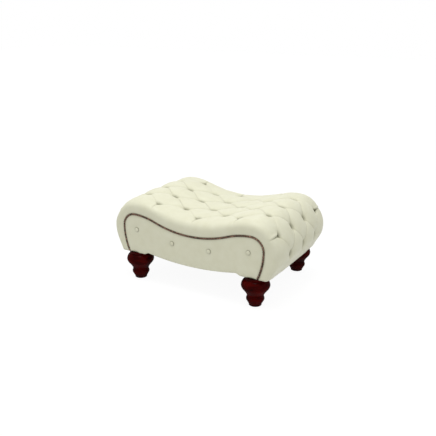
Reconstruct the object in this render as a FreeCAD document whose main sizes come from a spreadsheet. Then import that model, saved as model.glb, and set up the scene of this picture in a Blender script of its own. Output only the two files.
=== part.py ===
import FreeCAD, Part
import Sketcher
import math
import os

# A deep-buttoned footstool with a dipped seat, a nailed facing on each long side and four turned feet.
# Millimetres: X along the stool, front facing towards -Y, +Z up, origin on the floor under the centre.

Vector = FreeCAD.Vector
doc = FreeCAD.newDocument("footstool")

# Driving dimensions
sheet = doc.addObject("Spreadsheet::Sheet", "Sizes")
DIMENSIONS = [
    ("half_depth", 265.4, "centre plane to the face of each facing"),
    ("plinth_height", 137, "floor to the underside of the body"),
    ("dip_rise", 6.5, "facing's top edge at the middle, above the shoulder's centre"),
    ("dip_share", 1.809, "hollow arc's radius, as a share of the shoulder's distance from the middle"),
    ("crest_share", 1.092, "radius of the arc from hollow to shoulder, as the same kind of share"),
    ("shoulder_radius", 60, "arc at each upper corner of the facing"),
    ("shoulder_across", 293, "centre plane to the shoulder's centre"),
    ("shoulder_height", 260, "floor to the shoulder's centre"),
    ("side_radius", 302, "slow arc down each end of the facing"),
    ("step_inset", 43.3, "foot of the apron's step, inside the shoulder's centre"),
    ("step_run", 27.7, "length of the apron's step"),
    ("step_rise", 8.5, "height of the apron's step"),
    ("apron_drop", 10.8, "lowest point of the bowed apron, below the body's underside"),
    ("panel_thickness", 18, "plywood side panels"),
    ("panel_outset", 12, "side panel's edge beyond the facing's edge"),
    ("apron_lift", 1.8, "side panel's lower edge above the facing's"),
    ("facing_board_thickness", 5, "board that carries a facing"),
    ("facing_pad_thickness", 5.6, "thin pad on the facing board"),
    ("leather_thickness", 1.4, "hide on the facings"),
    ("seam_gap", 0.3, "room between a facing and the cover around it"),
    ("soft_gap", 0.3, "room that each soft piece keeps from its neighbours"),
    ("rail_depth", 30, "depth of the shoulder rails"),
    ("rail_start_angle", 20, "shoulder rail's first edge, from straight up"),
    ("rail_end_angle", 46, "shoulder rail's last edge, from straight up"),
    ("board_start_angle", 35, "top edge of the end boards, from straight up"),
    ("end_rail_beyond", 23, "end rail's inner face, beyond the shoulder's centre"),
    ("end_rail_share", 0.4065, "end rails' height, as a share of the shoulder's height over the underside"),
    ("underside_recess", 3, "rails and battens above the plinth"),
    ("stretcher_width", 24, "centre stretcher along the stool"),
    ("stretcher_height", 44, "centre stretcher's height"),
    ("batten_width", 20, "square battens along the side panels"),
    ("block_length", 62, "corner blocks along and across the stool"),
    ("block_height", 40, "corner blocks' height"),
    ("block_corner", 36, "sloping corner cut off a corner block"),
    ("strap_width", 44, "jute straps"),
    ("strap_thickness", 2, "jute straps"),
    ("hessian_thickness", 1, "hessian over the straps"),
    ("foam_seat", 57, "foam's face beyond the facing edge, in the hollow"),
    ("foam_shoulder", 46, "foam's face beyond the facing edge, at a shoulder"),
    ("foam_side_radius", 240, "foam's arc down each end"),
    ("edge_roll_width", 28, "stuffed roll of the cover beside the foam, over the panels' edges"),
    ("foam_hole_radius", 5, "holes punched for the button twines"),
    ("button_inset", 66.95, "facing's face to the outermost deep buttons"),
    ("row_beyond", 16.9, "shoulder row of deep buttons, beyond the shoulder's centre"),
    ("turn_pitch", 103.3, "rows of deep buttons round each end"),
    ("seat_padding", 62.5, "buttons beyond the facing edge, two middle rows"),
    ("crest_padding", 58, "buttons beyond the facing edge, crest rows"),
    ("corner_padding", 50.5, "buttons beyond the facing edge, shoulder rows"),
    ("end_padding", 62, "buttons beyond the facing edge, lowest rows"),
    ("hem_padding", 46, "straight pleats beyond the facing edge, at the hem"),
    ("crown", 21, "pillow above its buttons"),
    ("hem_crown", 8, "pillow above its pleats at the hem"),
    ("pleat_rise", 5, "pleat halfway between two buttons, above them"),
    ("seat_width", 10, "small flat under each deep button, across the stool"),
    ("hem_pleat_width", 3, "straight pleats at the hem"),
    ("band", 20, "flat leather band outside the nails"),
    ("hem_band", 33, "the same band at the hem"),
    ("roll_share", 0.72, "edge roll's radius, as a share of its height"),
    ("border_share", 0.15, "border's highest line outside the last pleat, as a share of the buttons' pitch"),
    ("border_swell", 0.2, "how much further out that line stands at the middle of a border panel"),
    ("button_radius", 9, "deep buttons"),
    ("button_height", 6.5, "deep buttons"),
    ("twine_radius", 1.1, "waxed button twine"),
    ("tab_radius", 9, "leather tabs that hold the twines, to their corners"),
    ("tab_thickness", 3, "leather tabs that hold the twines"),
    ("tab_gap", 0.4, "room between a tab and the curved deck over it"),
    ("facing_button_radius", 10, "covered buttons on the facings"),
    ("facing_button_height", 4, "covered buttons on the facings"),
    ("outer_button_inset", 9.8, "outer facing buttons, inside the shoulder's centre"),
    ("outer_button_drop", 11.2, "outer facing buttons, below the shoulder's centre"),
    ("inner_button_share", 0.3312, "inner facing buttons, as a share of the outer ones' distance"),
    ("inner_button_drop", 42.7, "inner facing buttons, below the shoulder's centre"),
    ("nail_pitch", 10.4, "close-nailed heads"),
    ("nail_radius", 5, "close-nailed heads"),
    ("nail_height", 2.4, "close-nailed heads"),
    ("foot_beyond", 7, "foot's axis beyond the shoulder's centre, along the stool"),
    ("foot_inset", 42.2, "facing's face to a foot's axis, across the stool"),
    ("foot_top_radius", 48, "foot's collar under the body"),
    ("bulb_radius", 64, "widest turn of the foot"),
    ("bulb_share", 0.6861, "height of the widest turn, as a share of the foot's"),
    ("bulb_curve", 31, "profile arc of the widest turn"),
    ("neck_radius", 37, "narrow turn under the bulb"),
    ("neck_share", 0.3504, "height of the narrow turn, as a share of the foot's"),
    ("ring_radius", 39.5, "small ring near the floor"),
    ("ring_share", 0.2409, "height of the ring's middle, as a share of the foot's"),
    ("ring_curve", 10, "profile arc of the ring"),
    ("base_radius", 27.5, "foot's base"),
    ("base_height", 9, "foot's base"),
    ("glide_radius", 13, "nylon glides"),
    ("glide_thickness", 5, "nylon glides"),
    ("glide_show", 2, "height of glide below the wood"),
    ("bolt_radius", 4, "foot bolts"),
    ("bolt_length", 82, "foot bolts"),
    ("bolt_in_foot", 32, "part of each bolt inside its foot"),
    ("bolt_gap", 0.3, "room round each bolt"),
    ("nut_across", 13, "nuts across their flats"),
    ("nut_height", 6.5, "nuts on the foot bolts"),
    ("dust_cover_thickness", 0.6, "cambric under the frame"),
    ("dust_cover_lap", 30, "cambric's overlap under each end rail"),
]
FOLLOWING = [
    ("dip_height", "=shoulder_height + dip_rise", "floor to the facing's top edge at the middle"),
    ("apron_height", "=plinth_height - apron_drop", "floor to the lowest point of the bowed apron"),
    ("end_rail_height", "=end_rail_share * (shoulder_height - plinth_height)", "height of the end rails"),
    ("outer_button_height", "=shoulder_height - outer_button_drop", "outer facing buttons from the floor"),
    ("inner_button_height", "=shoulder_height - inner_button_drop", "inner facing buttons from the floor"),
    ("bulb_height", "=bulb_share * plinth_height", "floor to the widest turn"),
    ("neck_height", "=neck_share * plinth_height", "floor to the narrow turn"),
    ("ring_height", "=ring_share * plinth_height", "floor to the middle of the ring"),
    ("dip_radius", "=dip_share * shoulder_across", "hollow arc in the middle of the facing"),
    ("crest_radius", "=crest_share * shoulder_across", "arc that joins the hollow to the shoulder"),
    ("step_outer", "=shoulder_across - step_inset", "centre plane to the foot of the apron's step"),
    ("step_inner", "=step_outer - step_run", "centre plane to the top of the apron's step"),
    ("end_rail_across", "=shoulder_across + end_rail_beyond", "centre plane to an end rail's inner face"),
    ("outer_button_across", "=shoulder_across - outer_button_inset", "outer facing buttons from the middle"),
    ("inner_button_across", "=inner_button_share * outer_button_across", "inner facing buttons"),
    ("foot_across", "=shoulder_across + foot_beyond", "centre plane to a foot's axis, along the stool"),
    ("foot_deep", "=half_depth - foot_inset", "centre plane to a foot's axis, across the stool"),
]
for row, (alias, number, note) in enumerate(DIMENSIONS + FOLLOWING, start=1):
    sheet.set(f"A{row}", note)
    sheet.set(f"B{row}", str(number))
    sheet.setAlias(f"B{row}", alias)
doc.recompute()


def size(alias):
    return float(sheet.get(alias))


def cell(alias):
    return "Sizes." + alias


SEAT_ROWS = 3           # button rows from the middle row to the shoulder row
ROWS = 5                # button rows from the middle row to the lowest row at each end
STRIPS = 3              # lofted strips between one row and the next
HEM_STRIPS = 3          # strips from the lowest row to the hem
PILLOW_RUNS = 6         # straight runs across a pillow
INNER_RUNS = 3          # straight runs from an outermost pleat to the top of the border
BORDER_RUNS = 2         # straight runs from there to the roll
ROLL_RUNS = 3           # straight runs round the roll
FOOT_SIDES = 16         # flats round a foot
RING_RUNS = 2           # straight runs along the small ring's profile
BULB_RUNS = 5           # straight runs along the bulb's profile
BOLT_SIDES = 8          # flats round a bolt and its hole
GLIDE_SIDES = 10        # flats round a glide
LEAST_RISE = 0.5        # least height of a pillow's arc
LEAST_SHARE = 0.001     # shares nearer than this are the same
SEWING_REACH = 0.005    # faces nearer than this are joined
END_LEAN = 0.5          # a button's line that leans more than this goes through an end board

half_depth = size("half_depth")
panel_face = half_depth - size("facing_board_thickness") - size("facing_pad_thickness")
panel_face -= size("leather_thickness")
panel_inside = panel_face - size("panel_thickness")
deck_outset = size("panel_outset") + size("strap_thickness") + size("hessian_thickness")
plinth = size("plinth_height")
shoulder = Vector(size("shoulder_across"), 0, size("shoulder_height"))


# The curved outline that the facing, the panels, the deck and the foam all follow

def side_arc_centre(outset, side_radius):
    return Vector(shoulder.x + size("shoulder_radius") + outset - side_radius, 0, shoulder.z)


def crest_centre(dip_outset, outset):
    dip_centre = Vector(0, 0, size("dip_height") + size("dip_radius"))
    crest = size("crest_radius") + outset
    from_dip = size("dip_radius") - dip_outset + crest
    from_shoulder = crest - size("shoulder_radius") - outset
    between = shoulder - dip_centre
    span = between.Length
    along = (from_dip ** 2 - from_shoulder ** 2 + span ** 2) / (2 * span)
    aside = math.sqrt(from_dip ** 2 - along ** 2)
    forward = between / span
    sideways = Vector(forward.z, 0, -forward.x)
    return dip_centre + forward * along + sideways * aside


def toward(start, end, distance):
    return start + (end - start).normalize() * distance


class Outline:
    """Right half of the outline: hollow, crest, shoulder and side arcs, moved outwards by an outset."""

    def __init__(self, dip_outset, outset, side_radius, hem_height):
        self.hem = hem_height
        self.dip_radius = size("dip_radius") - dip_outset
        self.crest_radius = size("crest_radius") + outset
        self.shoulder_radius = size("shoulder_radius") + outset
        self.side_radius = side_radius
        self.dip_centre = Vector(0, 0, size("dip_height") + size("dip_radius"))
        self.crest_centre = crest_centre(dip_outset, outset)
        self.side_centre = side_arc_centre(outset, side_radius)
        self.middle = Vector(0, 0, self.dip_centre.z - self.dip_radius)
        self.dip_end = toward(self.dip_centre, self.crest_centre, self.dip_radius)
        self.crest_end = toward(self.crest_centre, shoulder, self.crest_radius)
        self.shoulder_end = Vector(shoulder.x + self.shoulder_radius, 0, shoulder.z)
        self.side_end = Vector(self.across(hem_height), 0, hem_height)

    def across(self, height):
        drop = self.side_centre.z - height
        return self.side_centre.x + math.sqrt(self.side_radius ** 2 - drop ** 2)

    def top(self, across):
        if across < self.dip_end.x:
            return self.dip_centre.z - math.sqrt(self.dip_radius ** 2 - across ** 2)
        step = across - self.crest_centre.x
        if across < self.crest_end.x:
            return self.crest_centre.z + math.sqrt(self.crest_radius ** 2 - step ** 2)
        step = across - shoulder.x
        return shoulder.z + math.sqrt(self.shoulder_radius ** 2 - step ** 2)

    def half_arcs(self):
        """Three points of each arc, from the middle of the seat to the hem."""
        stations = [
            (self.dip_centre, self.dip_radius, self.middle, self.dip_end),
            (self.crest_centre, self.crest_radius, self.dip_end, self.crest_end),
            (shoulder, self.shoulder_radius, self.crest_end, self.shoulder_end),
            (self.side_centre, self.side_radius, self.shoulder_end, self.side_end),
        ]
        arcs = []
        for centre, radius, start, end in stations:
            halfway = toward(centre, (start + end) / 2, radius)
            arcs.append((start, halfway, end))
        return arcs


def moved(point, depth, side=1):
    """The same point of the outline at a depth, on the right half or mirrored to the left one."""
    return Vector(point.x * side, depth, point.z)


def outline_edges(outline, depth):
    """The whole outline at one depth, from the left hem over the seat to the right hem."""
    edges = []
    arcs = outline.half_arcs()
    for start, halfway, end in reversed(arcs[1:]):
        points = [moved(end, depth, -1), moved(halfway, depth, -1), moved(start, depth, -1)]
        edges.append(Part.Arc(*points).toShape())
    dip_end = moved(outline.dip_end, depth)
    dip_start = moved(outline.dip_end, depth, -1)
    edges.append(Part.Arc(dip_start, moved(outline.middle, depth), dip_end).toShape())
    for start, halfway, end in arcs[1:]:
        points = [moved(start, depth), moved(halfway, depth), moved(end, depth)]
        edges.append(Part.Arc(*points).toShape())
    return edges


def closed_outline(outline, depth):
    edges = outline_edges(outline, depth)
    right = moved(outline.side_end, depth)
    left = moved(outline.side_end, depth, -1)
    return Part.Wire(edges + [Part.makeLine(right, left)])


def block_between(outline, front, back):
    face = Part.Face(closed_outline(outline, front))
    return face.extrude(Vector(0, back - front, 0))


def even_outline(outset, hem_height):
    return Outline(outset, outset, size("side_radius") + outset, hem_height)


# Where the rows of deep buttons lie: a ray across the padding at each place along the seat's curve

facing_edge = even_outline(0, plinth)
turn_radius = size("shoulder_radius") + size("seat_padding")
turn_start = shoulder.x
turn_end = turn_start + turn_radius * math.pi / 2
hem_place = turn_end + shoulder.z - plinth


def ray(place):
    """Start, direction and distance to the facing's edge, on the right half, at a place along the seat."""
    if place <= turn_start:
        return Vector(place, 0, 0), Vector(0, 0, 1), facing_edge.top(place)
    if place <= turn_end:
        angle = (place - turn_start) / turn_radius
        return shoulder, Vector(math.sin(angle), 0, math.cos(angle)), size("shoulder_radius")
    height = max(shoulder.z - (place - turn_end), plinth)
    return Vector(0, 0, height), Vector(1, 0, 0), facing_edge.across(height)


def place_of(row):
    """Place along the seat of a row, or of a share of the way to the next row, on either half."""
    seat_rows = min(abs(row), SEAT_ROWS)
    seat_pitch = (shoulder.x + size("row_beyond")) / SEAT_ROWS
    place = seat_rows * seat_pitch + (abs(row) - seat_rows) * size("turn_pitch")
    return place if row >= 0 else -place


pitch = (half_depth - size("button_inset")) / 1.5
seat_share = size("seat_width") / pitch
seats_end = place_of(ROWS + seat_share)
row_places = [place_of(row) for row in range(ROWS + 1)] + [hem_place]
row_padding = [size("seat_padding"), size("seat_padding"), size("crest_padding"), size("crest_padding")]
row_padding += [size("corner_padding"), size("end_padding"), size("hem_padding")]


def eased(share):
    return (1 - math.cos(math.pi * share)) / 2


def padding(place):
    """Depth of the padding under the pleats."""
    for row in range(len(row_places) - 1):
        if place <= row_places[row + 1]:
            share = (place - row_places[row]) / (row_places[row + 1] - row_places[row])
            return row_padding[row] + (row_padding[row + 1] - row_padding[row]) * eased(share)
    return row_padding[-1]


def hem_share(place):
    """Share of the way from the lowest seats down to the hem."""
    return max(0, (place - seats_end) / (hem_place - seats_end))


def crown(place):
    return size("crown") + (size("hem_crown") - size("crown")) * eased(hem_share(place))


def band(place):
    share = max(0, (place - turn_start) / (hem_place - turn_start))
    return size("band") + (size("hem_band") - size("band")) * eased(share)


def on_ray(place, depth, beyond):
    """A point at a place along the seat, at a depth, and a distance beyond the facing's edge."""
    start, direction, edge = ray(abs(place))
    point = start + direction * (edge + beyond)
    return Vector(point.x * (1 if place >= 0 else -1), depth, point.z)


# The tufted leather: every section is a chain of arcs in short straight runs, so that what is lofted
# between two sections is flat triangles, and neighbouring pillows share their pleats exactly

def arc_points(centre, start, end, count):
    """Points on the arc from start to end about a centre, all in one section's own plane."""
    radius = (start - centre).Length
    first = math.atan2(start.y - centre.y, start.x - centre.x)
    last = math.atan2(end.y - centre.y, end.x - centre.x)
    if last - first > math.pi:
        last -= 2 * math.pi
    if first - last > math.pi:
        last += 2 * math.pi
    points = []
    for step in range(count + 1):
        angle = first + (last - first) * step / count
        points.append(Vector(centre.x + radius * math.cos(angle), centre.y + radius * math.sin(angle), 0))
    return points


def crown_points(start, end, rise, count):
    """A pillow's arc between two points at one level; its middle stands higher by the rise."""
    half = (end.x - start.x) / 2
    radius = (half ** 2 + rise ** 2) / (2 * rise)
    centre = Vector(start.x + half, start.y + rise - radius, 0)
    return arc_points(centre, start, end, count)


def pleat_level(place, share):
    return padding(abs(place)) + size("pleat_rise") * math.sin(math.pi * share)


def pillow_section(place, share, left, right):
    level = pleat_level(place, share)
    if share > 1 - seat_share - LEAST_SHARE:
        return [on_ray(place, left, level), on_ray(place, right, level)]
    fullness = math.cos(math.pi / 2 * share)
    rise = padding(abs(place)) + crown(abs(place)) * fullness - level
    shape = crown_points(Vector(left, level, 0), Vector(right, level, 0), max(rise, LEAST_RISE), PILLOW_RUNS)
    return [on_ray(place, point.x, point.y) for point in shape]


def edge_section(place, share, side):
    """From the outermost pleat over the rolled edge to the flat band beside the nails."""
    reach = abs(place)
    in_pleat = share > 1 - seat_share - LEAST_SHARE
    inner = -pitch * (1 + min(share, 1 - seat_share) / 2)
    if reach > row_places[ROWS]:
        inner = -pitch - groove_width(reach) / 2
    fullness = math.cos(math.pi / 2 * share)
    level = pleat_level(place, min(share, 1 - seat_share))
    top_level = max(padding(reach) + crown(reach) * fullness, level + LEAST_RISE)
    first = Vector(inner, level, 0)
    outward = size("border_share") + size("border_swell") * fullness
    top = Vector(inner - pitch * outward, top_level, 0)
    low = band(reach)
    height = top_level - low
    roll = size("roll_share") * height
    across = top.x + half_depth - roll
    wide = (across ** 2 + height ** 2 - roll ** 2) / (2 * (height - roll))
    wide_centre = Vector(top.x, top_level - wide, 0)
    roll_centre = Vector(-half_depth + roll, low, 0)
    meet = toward(wide_centre, roll_centre, wide)
    shape = [first]
    start = first
    if in_pleat:
        start = Vector(inner - size("seat_width"), level, 0)
    run = start.x - top.x
    rise = top_level - start.y
    inner_centre = Vector(top.x, top_level - (run ** 2 + rise ** 2) / (2 * rise), 0)
    inner_arc = arc_points(inner_centre, start, top, INNER_RUNS if not in_pleat else INNER_RUNS - 1)
    shape += inner_arc if in_pleat else inner_arc[1:]
    shape += arc_points(wide_centre, top, meet, BORDER_RUNS)[1:]
    shape += arc_points(roll_centre, meet, Vector(-half_depth, low, 0), ROLL_RUNS)[1:]
    return [on_ray(place, point.x * side, point.y) for point in shape]


def pleat_section(row, side):
    """The straight pleat over the rolled edge, from an outermost button of a four-button row."""
    before = edge_section(place_of(row - seat_share), 1 - seat_share, side)
    after = edge_section(place_of(row + seat_share), 1 - seat_share, side)
    bottom = edge_section(place_of(row), 1, side)
    return [(before[1] + after[1]) / 2] + bottom[2:]


def triangle(a, b, c):
    return Part.Face(Part.makePolygon([a, b, c, a]))


def fanned(chain, end):
    """Flat triangles from a section to the short edge of a seat, where a pillow ends."""
    middle = (len(chain) - 1) // 2
    faces = [triangle(chain[middle], end[0], end[1])]
    for index in range(len(chain) - 1):
        corner = end[0] if index < middle else end[1]
        faces.append(triangle(chain[index], chain[index + 1], corner))
    return faces


def lofted(sections):
    """Flat triangles between each section and the next."""
    faces = []
    for near, far in zip(sections[:-1], sections[1:]):
        if len(near) != len(far):
            faces += fanned(near, far) if len(near) > len(far) else fanned(far, near)
            continue
        for index in range(len(near) - 1):
            a, b = near[index], near[index + 1]
            c, d = far[index], far[index + 1]
            if (a - d).Length < (b - c).Length:
                faces += [triangle(a, b, d), triangle(a, d, c)]
            else:
                faces += [triangle(a, b, c), triangle(b, d, c)]
    return faces


def shares_between():
    """Shares of the way from one row to the next where the leather has a section."""
    return [seat_share + (1 - 2 * seat_share) * step / STRIPS for step in range(STRIPS + 1)]


def shares_around():
    return [-share for share in reversed(shares_between())] + shares_between()


def hem_places(end):
    reach = hem_place - seats_end
    return [end * (seats_end + reach * step / HEM_STRIPS) for step in range(1, HEM_STRIPS + 1)]


def groove_width(place):
    return size("seat_width") * (1 - hem_share(place)) + size("hem_pleat_width") * hem_share(place)


def diamond(row, centre):
    sections = []
    for share in shares_around():
        half = pitch / 2 * (1 - abs(share))
        place = place_of(row + share)
        sections.append(pillow_section(place, abs(share), centre - half, centre + half))
    return lofted(sections)


def lower_pillow(end, centre):
    sections = []
    for share in shares_around()[:STRIPS + 2]:
        half = pitch / 2 * (1 - abs(share))
        place = place_of(ROWS + share) * end
        sections.append(pillow_section(place, abs(share), centre - half, centre + half))
    for place in hem_places(end):
        half = (pitch - groove_width(abs(place))) / 2
        sections.append(pillow_section(place, 0, centre - half, centre + half))
    return lofted(sections)


def edge_panel(row, side):
    """The border panel between two straight pleats, with the pleats' near walls."""
    sections = [edge_section(place_of(row + share), abs(share), side) for share in shares_around()]
    faces = lofted([pleat_section(row - 1, side), sections[0][1:]])
    faces += lofted([sections[-1][1:], pleat_section(row + 1, side)])
    return faces + lofted(sections)


def corner_panel(end, side):
    sections = []
    for share in shares_around()[:STRIPS + 2]:
        sections.append(edge_section(place_of(ROWS + share) * end, abs(share), side))
    for place in hem_places(end):
        sections.append(edge_section(place, 0, side))
    pleat = pleat_section((ROWS - 1) * end, side)
    return lofted(sections) + lofted([pleat, sections[0][1:]])


def seat(row, depth):
    """The small flat under a deep button, where its pleats meet."""
    half = size("seat_width") / 2
    corners = []
    for step, aside in ((-1, -1), (-1, 1), (1, 1), (1, -1)):
        place = place_of(row + step * seat_share)
        corners.append(on_ray(place, depth + aside * half, pleat_level(place, seat_share)))
    if row % 2 == 0 and depth < -pitch:
        corners.append((corners[-1] + corners[0]) / 2)
    if row % 2 == 0 and depth > pitch:
        corners.insert(2, (corners[1] + corners[2]) / 2)
    return Part.Face(Part.makePolygon(corners + [corners[0]]))


def hem_groove(end, depth):
    """The straight pleat from a lowest button down to the hem."""
    sections = []
    levels = [pleat_level(seats_end, seat_share)] + [padding(abs(place)) for place in hem_places(end)]
    for place, level in zip([end * seats_end] + hem_places(end), levels):
        half = groove_width(abs(place)) / 2
        sections.append([on_ray(place, depth - half, level), on_ray(place, depth + half, level)])
    return lofted(sections)


def row_buttons(row):
    if row % 2 == 0:
        return [-1.5 * pitch, -0.5 * pitch, 0.5 * pitch, 1.5 * pitch]
    return [-pitch, 0, pitch]


def leather_top():
    """Every face of the cover that shows: pillows, seats, pleats and rolled edges."""
    faces = []
    for row in range(-ROWS + 1, ROWS):
        gaps = row_buttons(row + 1)[row % 2:3]
        for centre in gaps:
            faces += diamond(row, centre)
        if row % 2 == 1:
            faces += edge_panel(row, 1) + edge_panel(row, -1)
        for depth in row_buttons(row):
            faces.append(seat(row, depth))
    for end in (-1, 1):
        for centre in (-0.5 * pitch, 0.5 * pitch):
            faces += lower_pillow(end, centre)
        for depth in row_buttons(ROWS):
            faces.append(seat(ROWS * end, depth))
            faces += hem_groove(end, depth)
        faces += corner_panel(end, 1) + corner_panel(end, -1)
    return faces


def band_corners(side):
    """Where the rolled edge runs into the flat band, from the left hem to the right one."""
    places = []
    for row in range(-ROWS, ROWS + 1):
        if row % 2 == 0:
            places.append(place_of(row))
        if row < ROWS:
            places += [place_of(row + share) for share in shares_between()]
    places = [-seats_end] + places + [seats_end]
    places = list(reversed(hem_places(-1))) + places + hem_places(1)
    return [on_ray(place, -half_depth * side, band(abs(place))) for place in places]


def band_face(side):
    """The flat band round the opening that the facing fills."""
    corners = band_corners(side)
    outline = outline_edges(facing_edge, -half_depth * side)
    right = moved(facing_edge.side_end, -half_depth * side)
    left = moved(facing_edge.side_end, -half_depth * side, -1)
    edges = Part.makePolygon([left] + corners + [right]).Edges
    return Part.Face(Part.Wire(edges + list(reversed(outline))))


def walls_between(outline, near, far):
    return [edge.extrude(Vector(0, far - near, 0)) for edge in outline_edges(outline, near)]


def hem_face(end, edge, full):
    """The cover's underside at one end, round the padding's lower edge."""
    ledge = panel_face + size("soft_gap")
    step = panel_face - size("edge_roll_width")
    halves = []
    for side in (1, -1):
        chain = edge_section(hem_place * end, 0, side)
        chain.append(moved(facing_edge.side_end, -half_depth * side, end))
        chain.append(moved(facing_edge.side_end, -ledge * side, end))
        chain.append(moved(edge.side_end, -ledge * side, end))
        chain.append(moved(edge.side_end, -step * side, end))
        chain.append(moved(full.side_end, -step * side, end))
        halves.append(chain)
    pillows = []
    for centre in (-0.5 * pitch, 0.5 * pitch):
        half = (pitch - groove_width(hem_place)) / 2
        pillows += pillow_section(hem_place * end, 0, centre - half, centre + half)
    outline = list(reversed(halves[0])) + pillows + halves[1]
    return Part.Face(Part.makePolygon(outline + [outline[0]]))


def ring_face(inner, outer, depth):
    """A flat face between two outlines at one depth, open at the hem."""
    left = Part.makeLine(moved(inner.side_end, depth, -1), moved(outer.side_end, depth, -1))
    right = Part.makeLine(moved(outer.side_end, depth), moved(inner.side_end, depth))
    edges = [left] + outline_edges(outer, depth) + [right] + list(reversed(outline_edges(inner, depth)))
    return Part.Face(Part.Wire(edges))


def leather_cover_shape():
    gap = size("soft_gap")
    edge = even_outline(deck_outset + gap, plinth)
    full = padding_outline(gap, plinth)
    ledge = panel_face + gap
    step = panel_face - size("edge_roll_width")
    faces = leather_top()
    for side in (1, -1):
        faces.append(band_face(side))
        faces.append(ring_face(facing_edge, edge, -ledge * side))
        faces.append(ring_face(edge, full, -step * side))
        faces += walls_between(facing_edge, -half_depth * side, -ledge * side)
        faces += walls_between(edge, -ledge * side, -step * side)
    faces += walls_between(full, -step, step)
    faces += [hem_face(end, edge, full) for end in (-1, 1)]
    return sewn(faces)


def sewn(faces):
    shell = Part.makeShell(faces)
    shell.sewShape(SEWING_REACH)
    solid = Part.Solid(shell.Shells[0])
    if solid.Volume < 0:
        solid.reverse()
    return solid


# The padding under the leather

def padding_outline(gap, hem_height):
    side_radius = size("foam_side_radius") + gap
    return Outline(size("foam_seat") + gap, size("foam_shoulder") + gap, side_radius, hem_height)


def on_outline(outline, place):
    """Where the ray at a place on the right half meets another outline, and the ray's direction."""
    start, direction, _ = ray(place)
    if place <= turn_start:
        return Vector(place, 0, outline.top(place)), direction
    if place >= turn_end:
        return Vector(outline.across(start.z), 0, start.z), direction
    crest_turn = math.atan2(outline.crest_end.x - shoulder.x, outline.crest_end.z - shoulder.z)
    if (place - turn_start) / turn_radius > crest_turn:
        return shoulder + direction * outline.shoulder_radius, direction
    offset = shoulder - outline.crest_centre
    along = offset.dot(direction)
    reach = math.sqrt(along ** 2 - offset.dot(offset) + outline.crest_radius ** 2) - along
    return shoulder + direction * reach, direction


def square_to(outline, place):
    """Direction that stands square to an outline at a place on the right half."""
    step = size("twine_radius")
    along = on_outline(outline, place + step)[0] - on_outline(outline, place - step)[0]
    return Vector(-along.z, 0, along.x).normalize()


def at_buttons(outline, square=False):
    """Where each deep button's line meets an outline, with that line's direction or the square one."""
    found = []
    for row in range(-ROWS, ROWS + 1):
        point, direction = on_outline(outline, place_of(abs(row)))
        if square:
            direction = square_to(outline, place_of(abs(row)))
        mirror = 1 if row >= 0 else -1
        for depth in row_buttons(row):
            line = Vector(direction.x * mirror, 0, direction.z)
            found.append((moved(point, depth, mirror), line))
    return found


def polygon_ring(radius, height, sides):
    corners = []
    for index in range(sides):
        angle = 2 * math.pi * (index + 0.5) / sides
        corners.append(Vector(radius * math.cos(angle), radius * math.sin(angle), height))
    return corners


def flat_face(corners):
    return Part.Face(Part.makePolygon(corners + [corners[0]]))


def faceted(rings, sides):
    """A closed solid with flat sides through level rings, each a radius and a height, or up to a tip."""
    loops = [polygon_ring(radius, height, sides) for radius, height in rings if radius > 0]
    faces = [flat_face(loops[0])]
    for near, far in zip(loops[:-1], loops[1:]):
        for index in range(sides):
            faces.append(flat_face([near[index - 1], near[index], far[index], far[index - 1]]))
    last = loops[-1]
    if rings[-1][0] > 0:
        return sewn(faces + [flat_face(last)])
    tip = Vector(0, 0, rings[-1][1])
    return sewn(faces + [triangle(last[index - 1], last[index], tip) for index in range(sides)])


def facing_along(centre, direction):
    return FreeCAD.Placement(centre, FreeCAD.Rotation(Vector(0, 0, 1), direction))


def prism(centre, direction, radius, length, sides):
    """A straight bar with a few flat sides, from a point along a direction."""
    bar = flat_face(polygon_ring(radius, 0, sides)).extrude(Vector(0, 0, length))
    bar.Placement = facing_along(centre, direction)
    return bar


def foam_pad_shape():
    step = panel_face - size("edge_roll_width") - size("soft_gap")
    block = block_between(padding_outline(0, plinth + size("underside_recess")), -step, step)
    deck = even_outline(deck_outset + size("soft_gap"), plinth - size("block_height"))
    block = block.cut(block_between(deck, -half_depth, half_depth))
    holes = []
    for point, line in at_buttons(deck):
        start = point - line * size("soft_gap")
        holes.append(prism(start - line, line, size("foam_hole_radius"), size("foam_seat"), 4))
    return block.cut(Part.Compound(holes))


# Helpers for objects of the document

def finish_body(body, tip):
    body.Tip = tip
    doc.recompute()
    return body


def origin_plane(body, role):
    for feature in body.Origin.OriginFeatures:
        if feature.Role == role:
            return feature


def new_body(label):
    body = doc.addObject("PartDesign::Body", label)
    body.Label = label
    return body


def new_sketch(body, name, role):
    sketch = body.newObject("Sketcher::SketchObject", name)
    sketch.AttachmentSupport = (origin_plane(body, role), [""])
    sketch.MapMode = "FlatFace"
    return sketch


def bind(sketch, kind, places, value, expression):
    """Adds a dimension to a sketch and ties it to the sheet."""
    index = sketch.addConstraint(Sketcher.Constraint(kind, *places, value))
    sketch.setExpression(f"Constraints[{index}]", expression)


def draw_polygon(sketch, corners):
    """A closed polygon; each corner is its two distances from the origin, as expressions and values."""
    points = [Vector(across[1], up[1], 0) for across, up in corners]
    count = len(points)
    for index in range(count):
        line = Part.LineSegment(points[index], points[(index + 1) % count])
        sketch.addGeometry(line, False)
    for index in range(count):
        sketch.addConstraint(Sketcher.Constraint("Coincident", index, 2, (index + 1) % count, 1))
    for index, (across, up) in enumerate(corners):
        pin(sketch, index, 1, across, up)


def pin(sketch, line, end, across, up):
    """Ties one point of a sketch to two expressions, measured from the origin."""
    for kind, (expression, value), axis in (("DistanceX", across, -2), ("DistanceY", up, -1)):
        if abs(value) < 1e-9 and expression == "0":
            sketch.addConstraint(Sketcher.Constraint("PointOnObject", line, end, axis))
        else:
            bind(sketch, kind, (-1, 1, line, end), value, expression)


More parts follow.
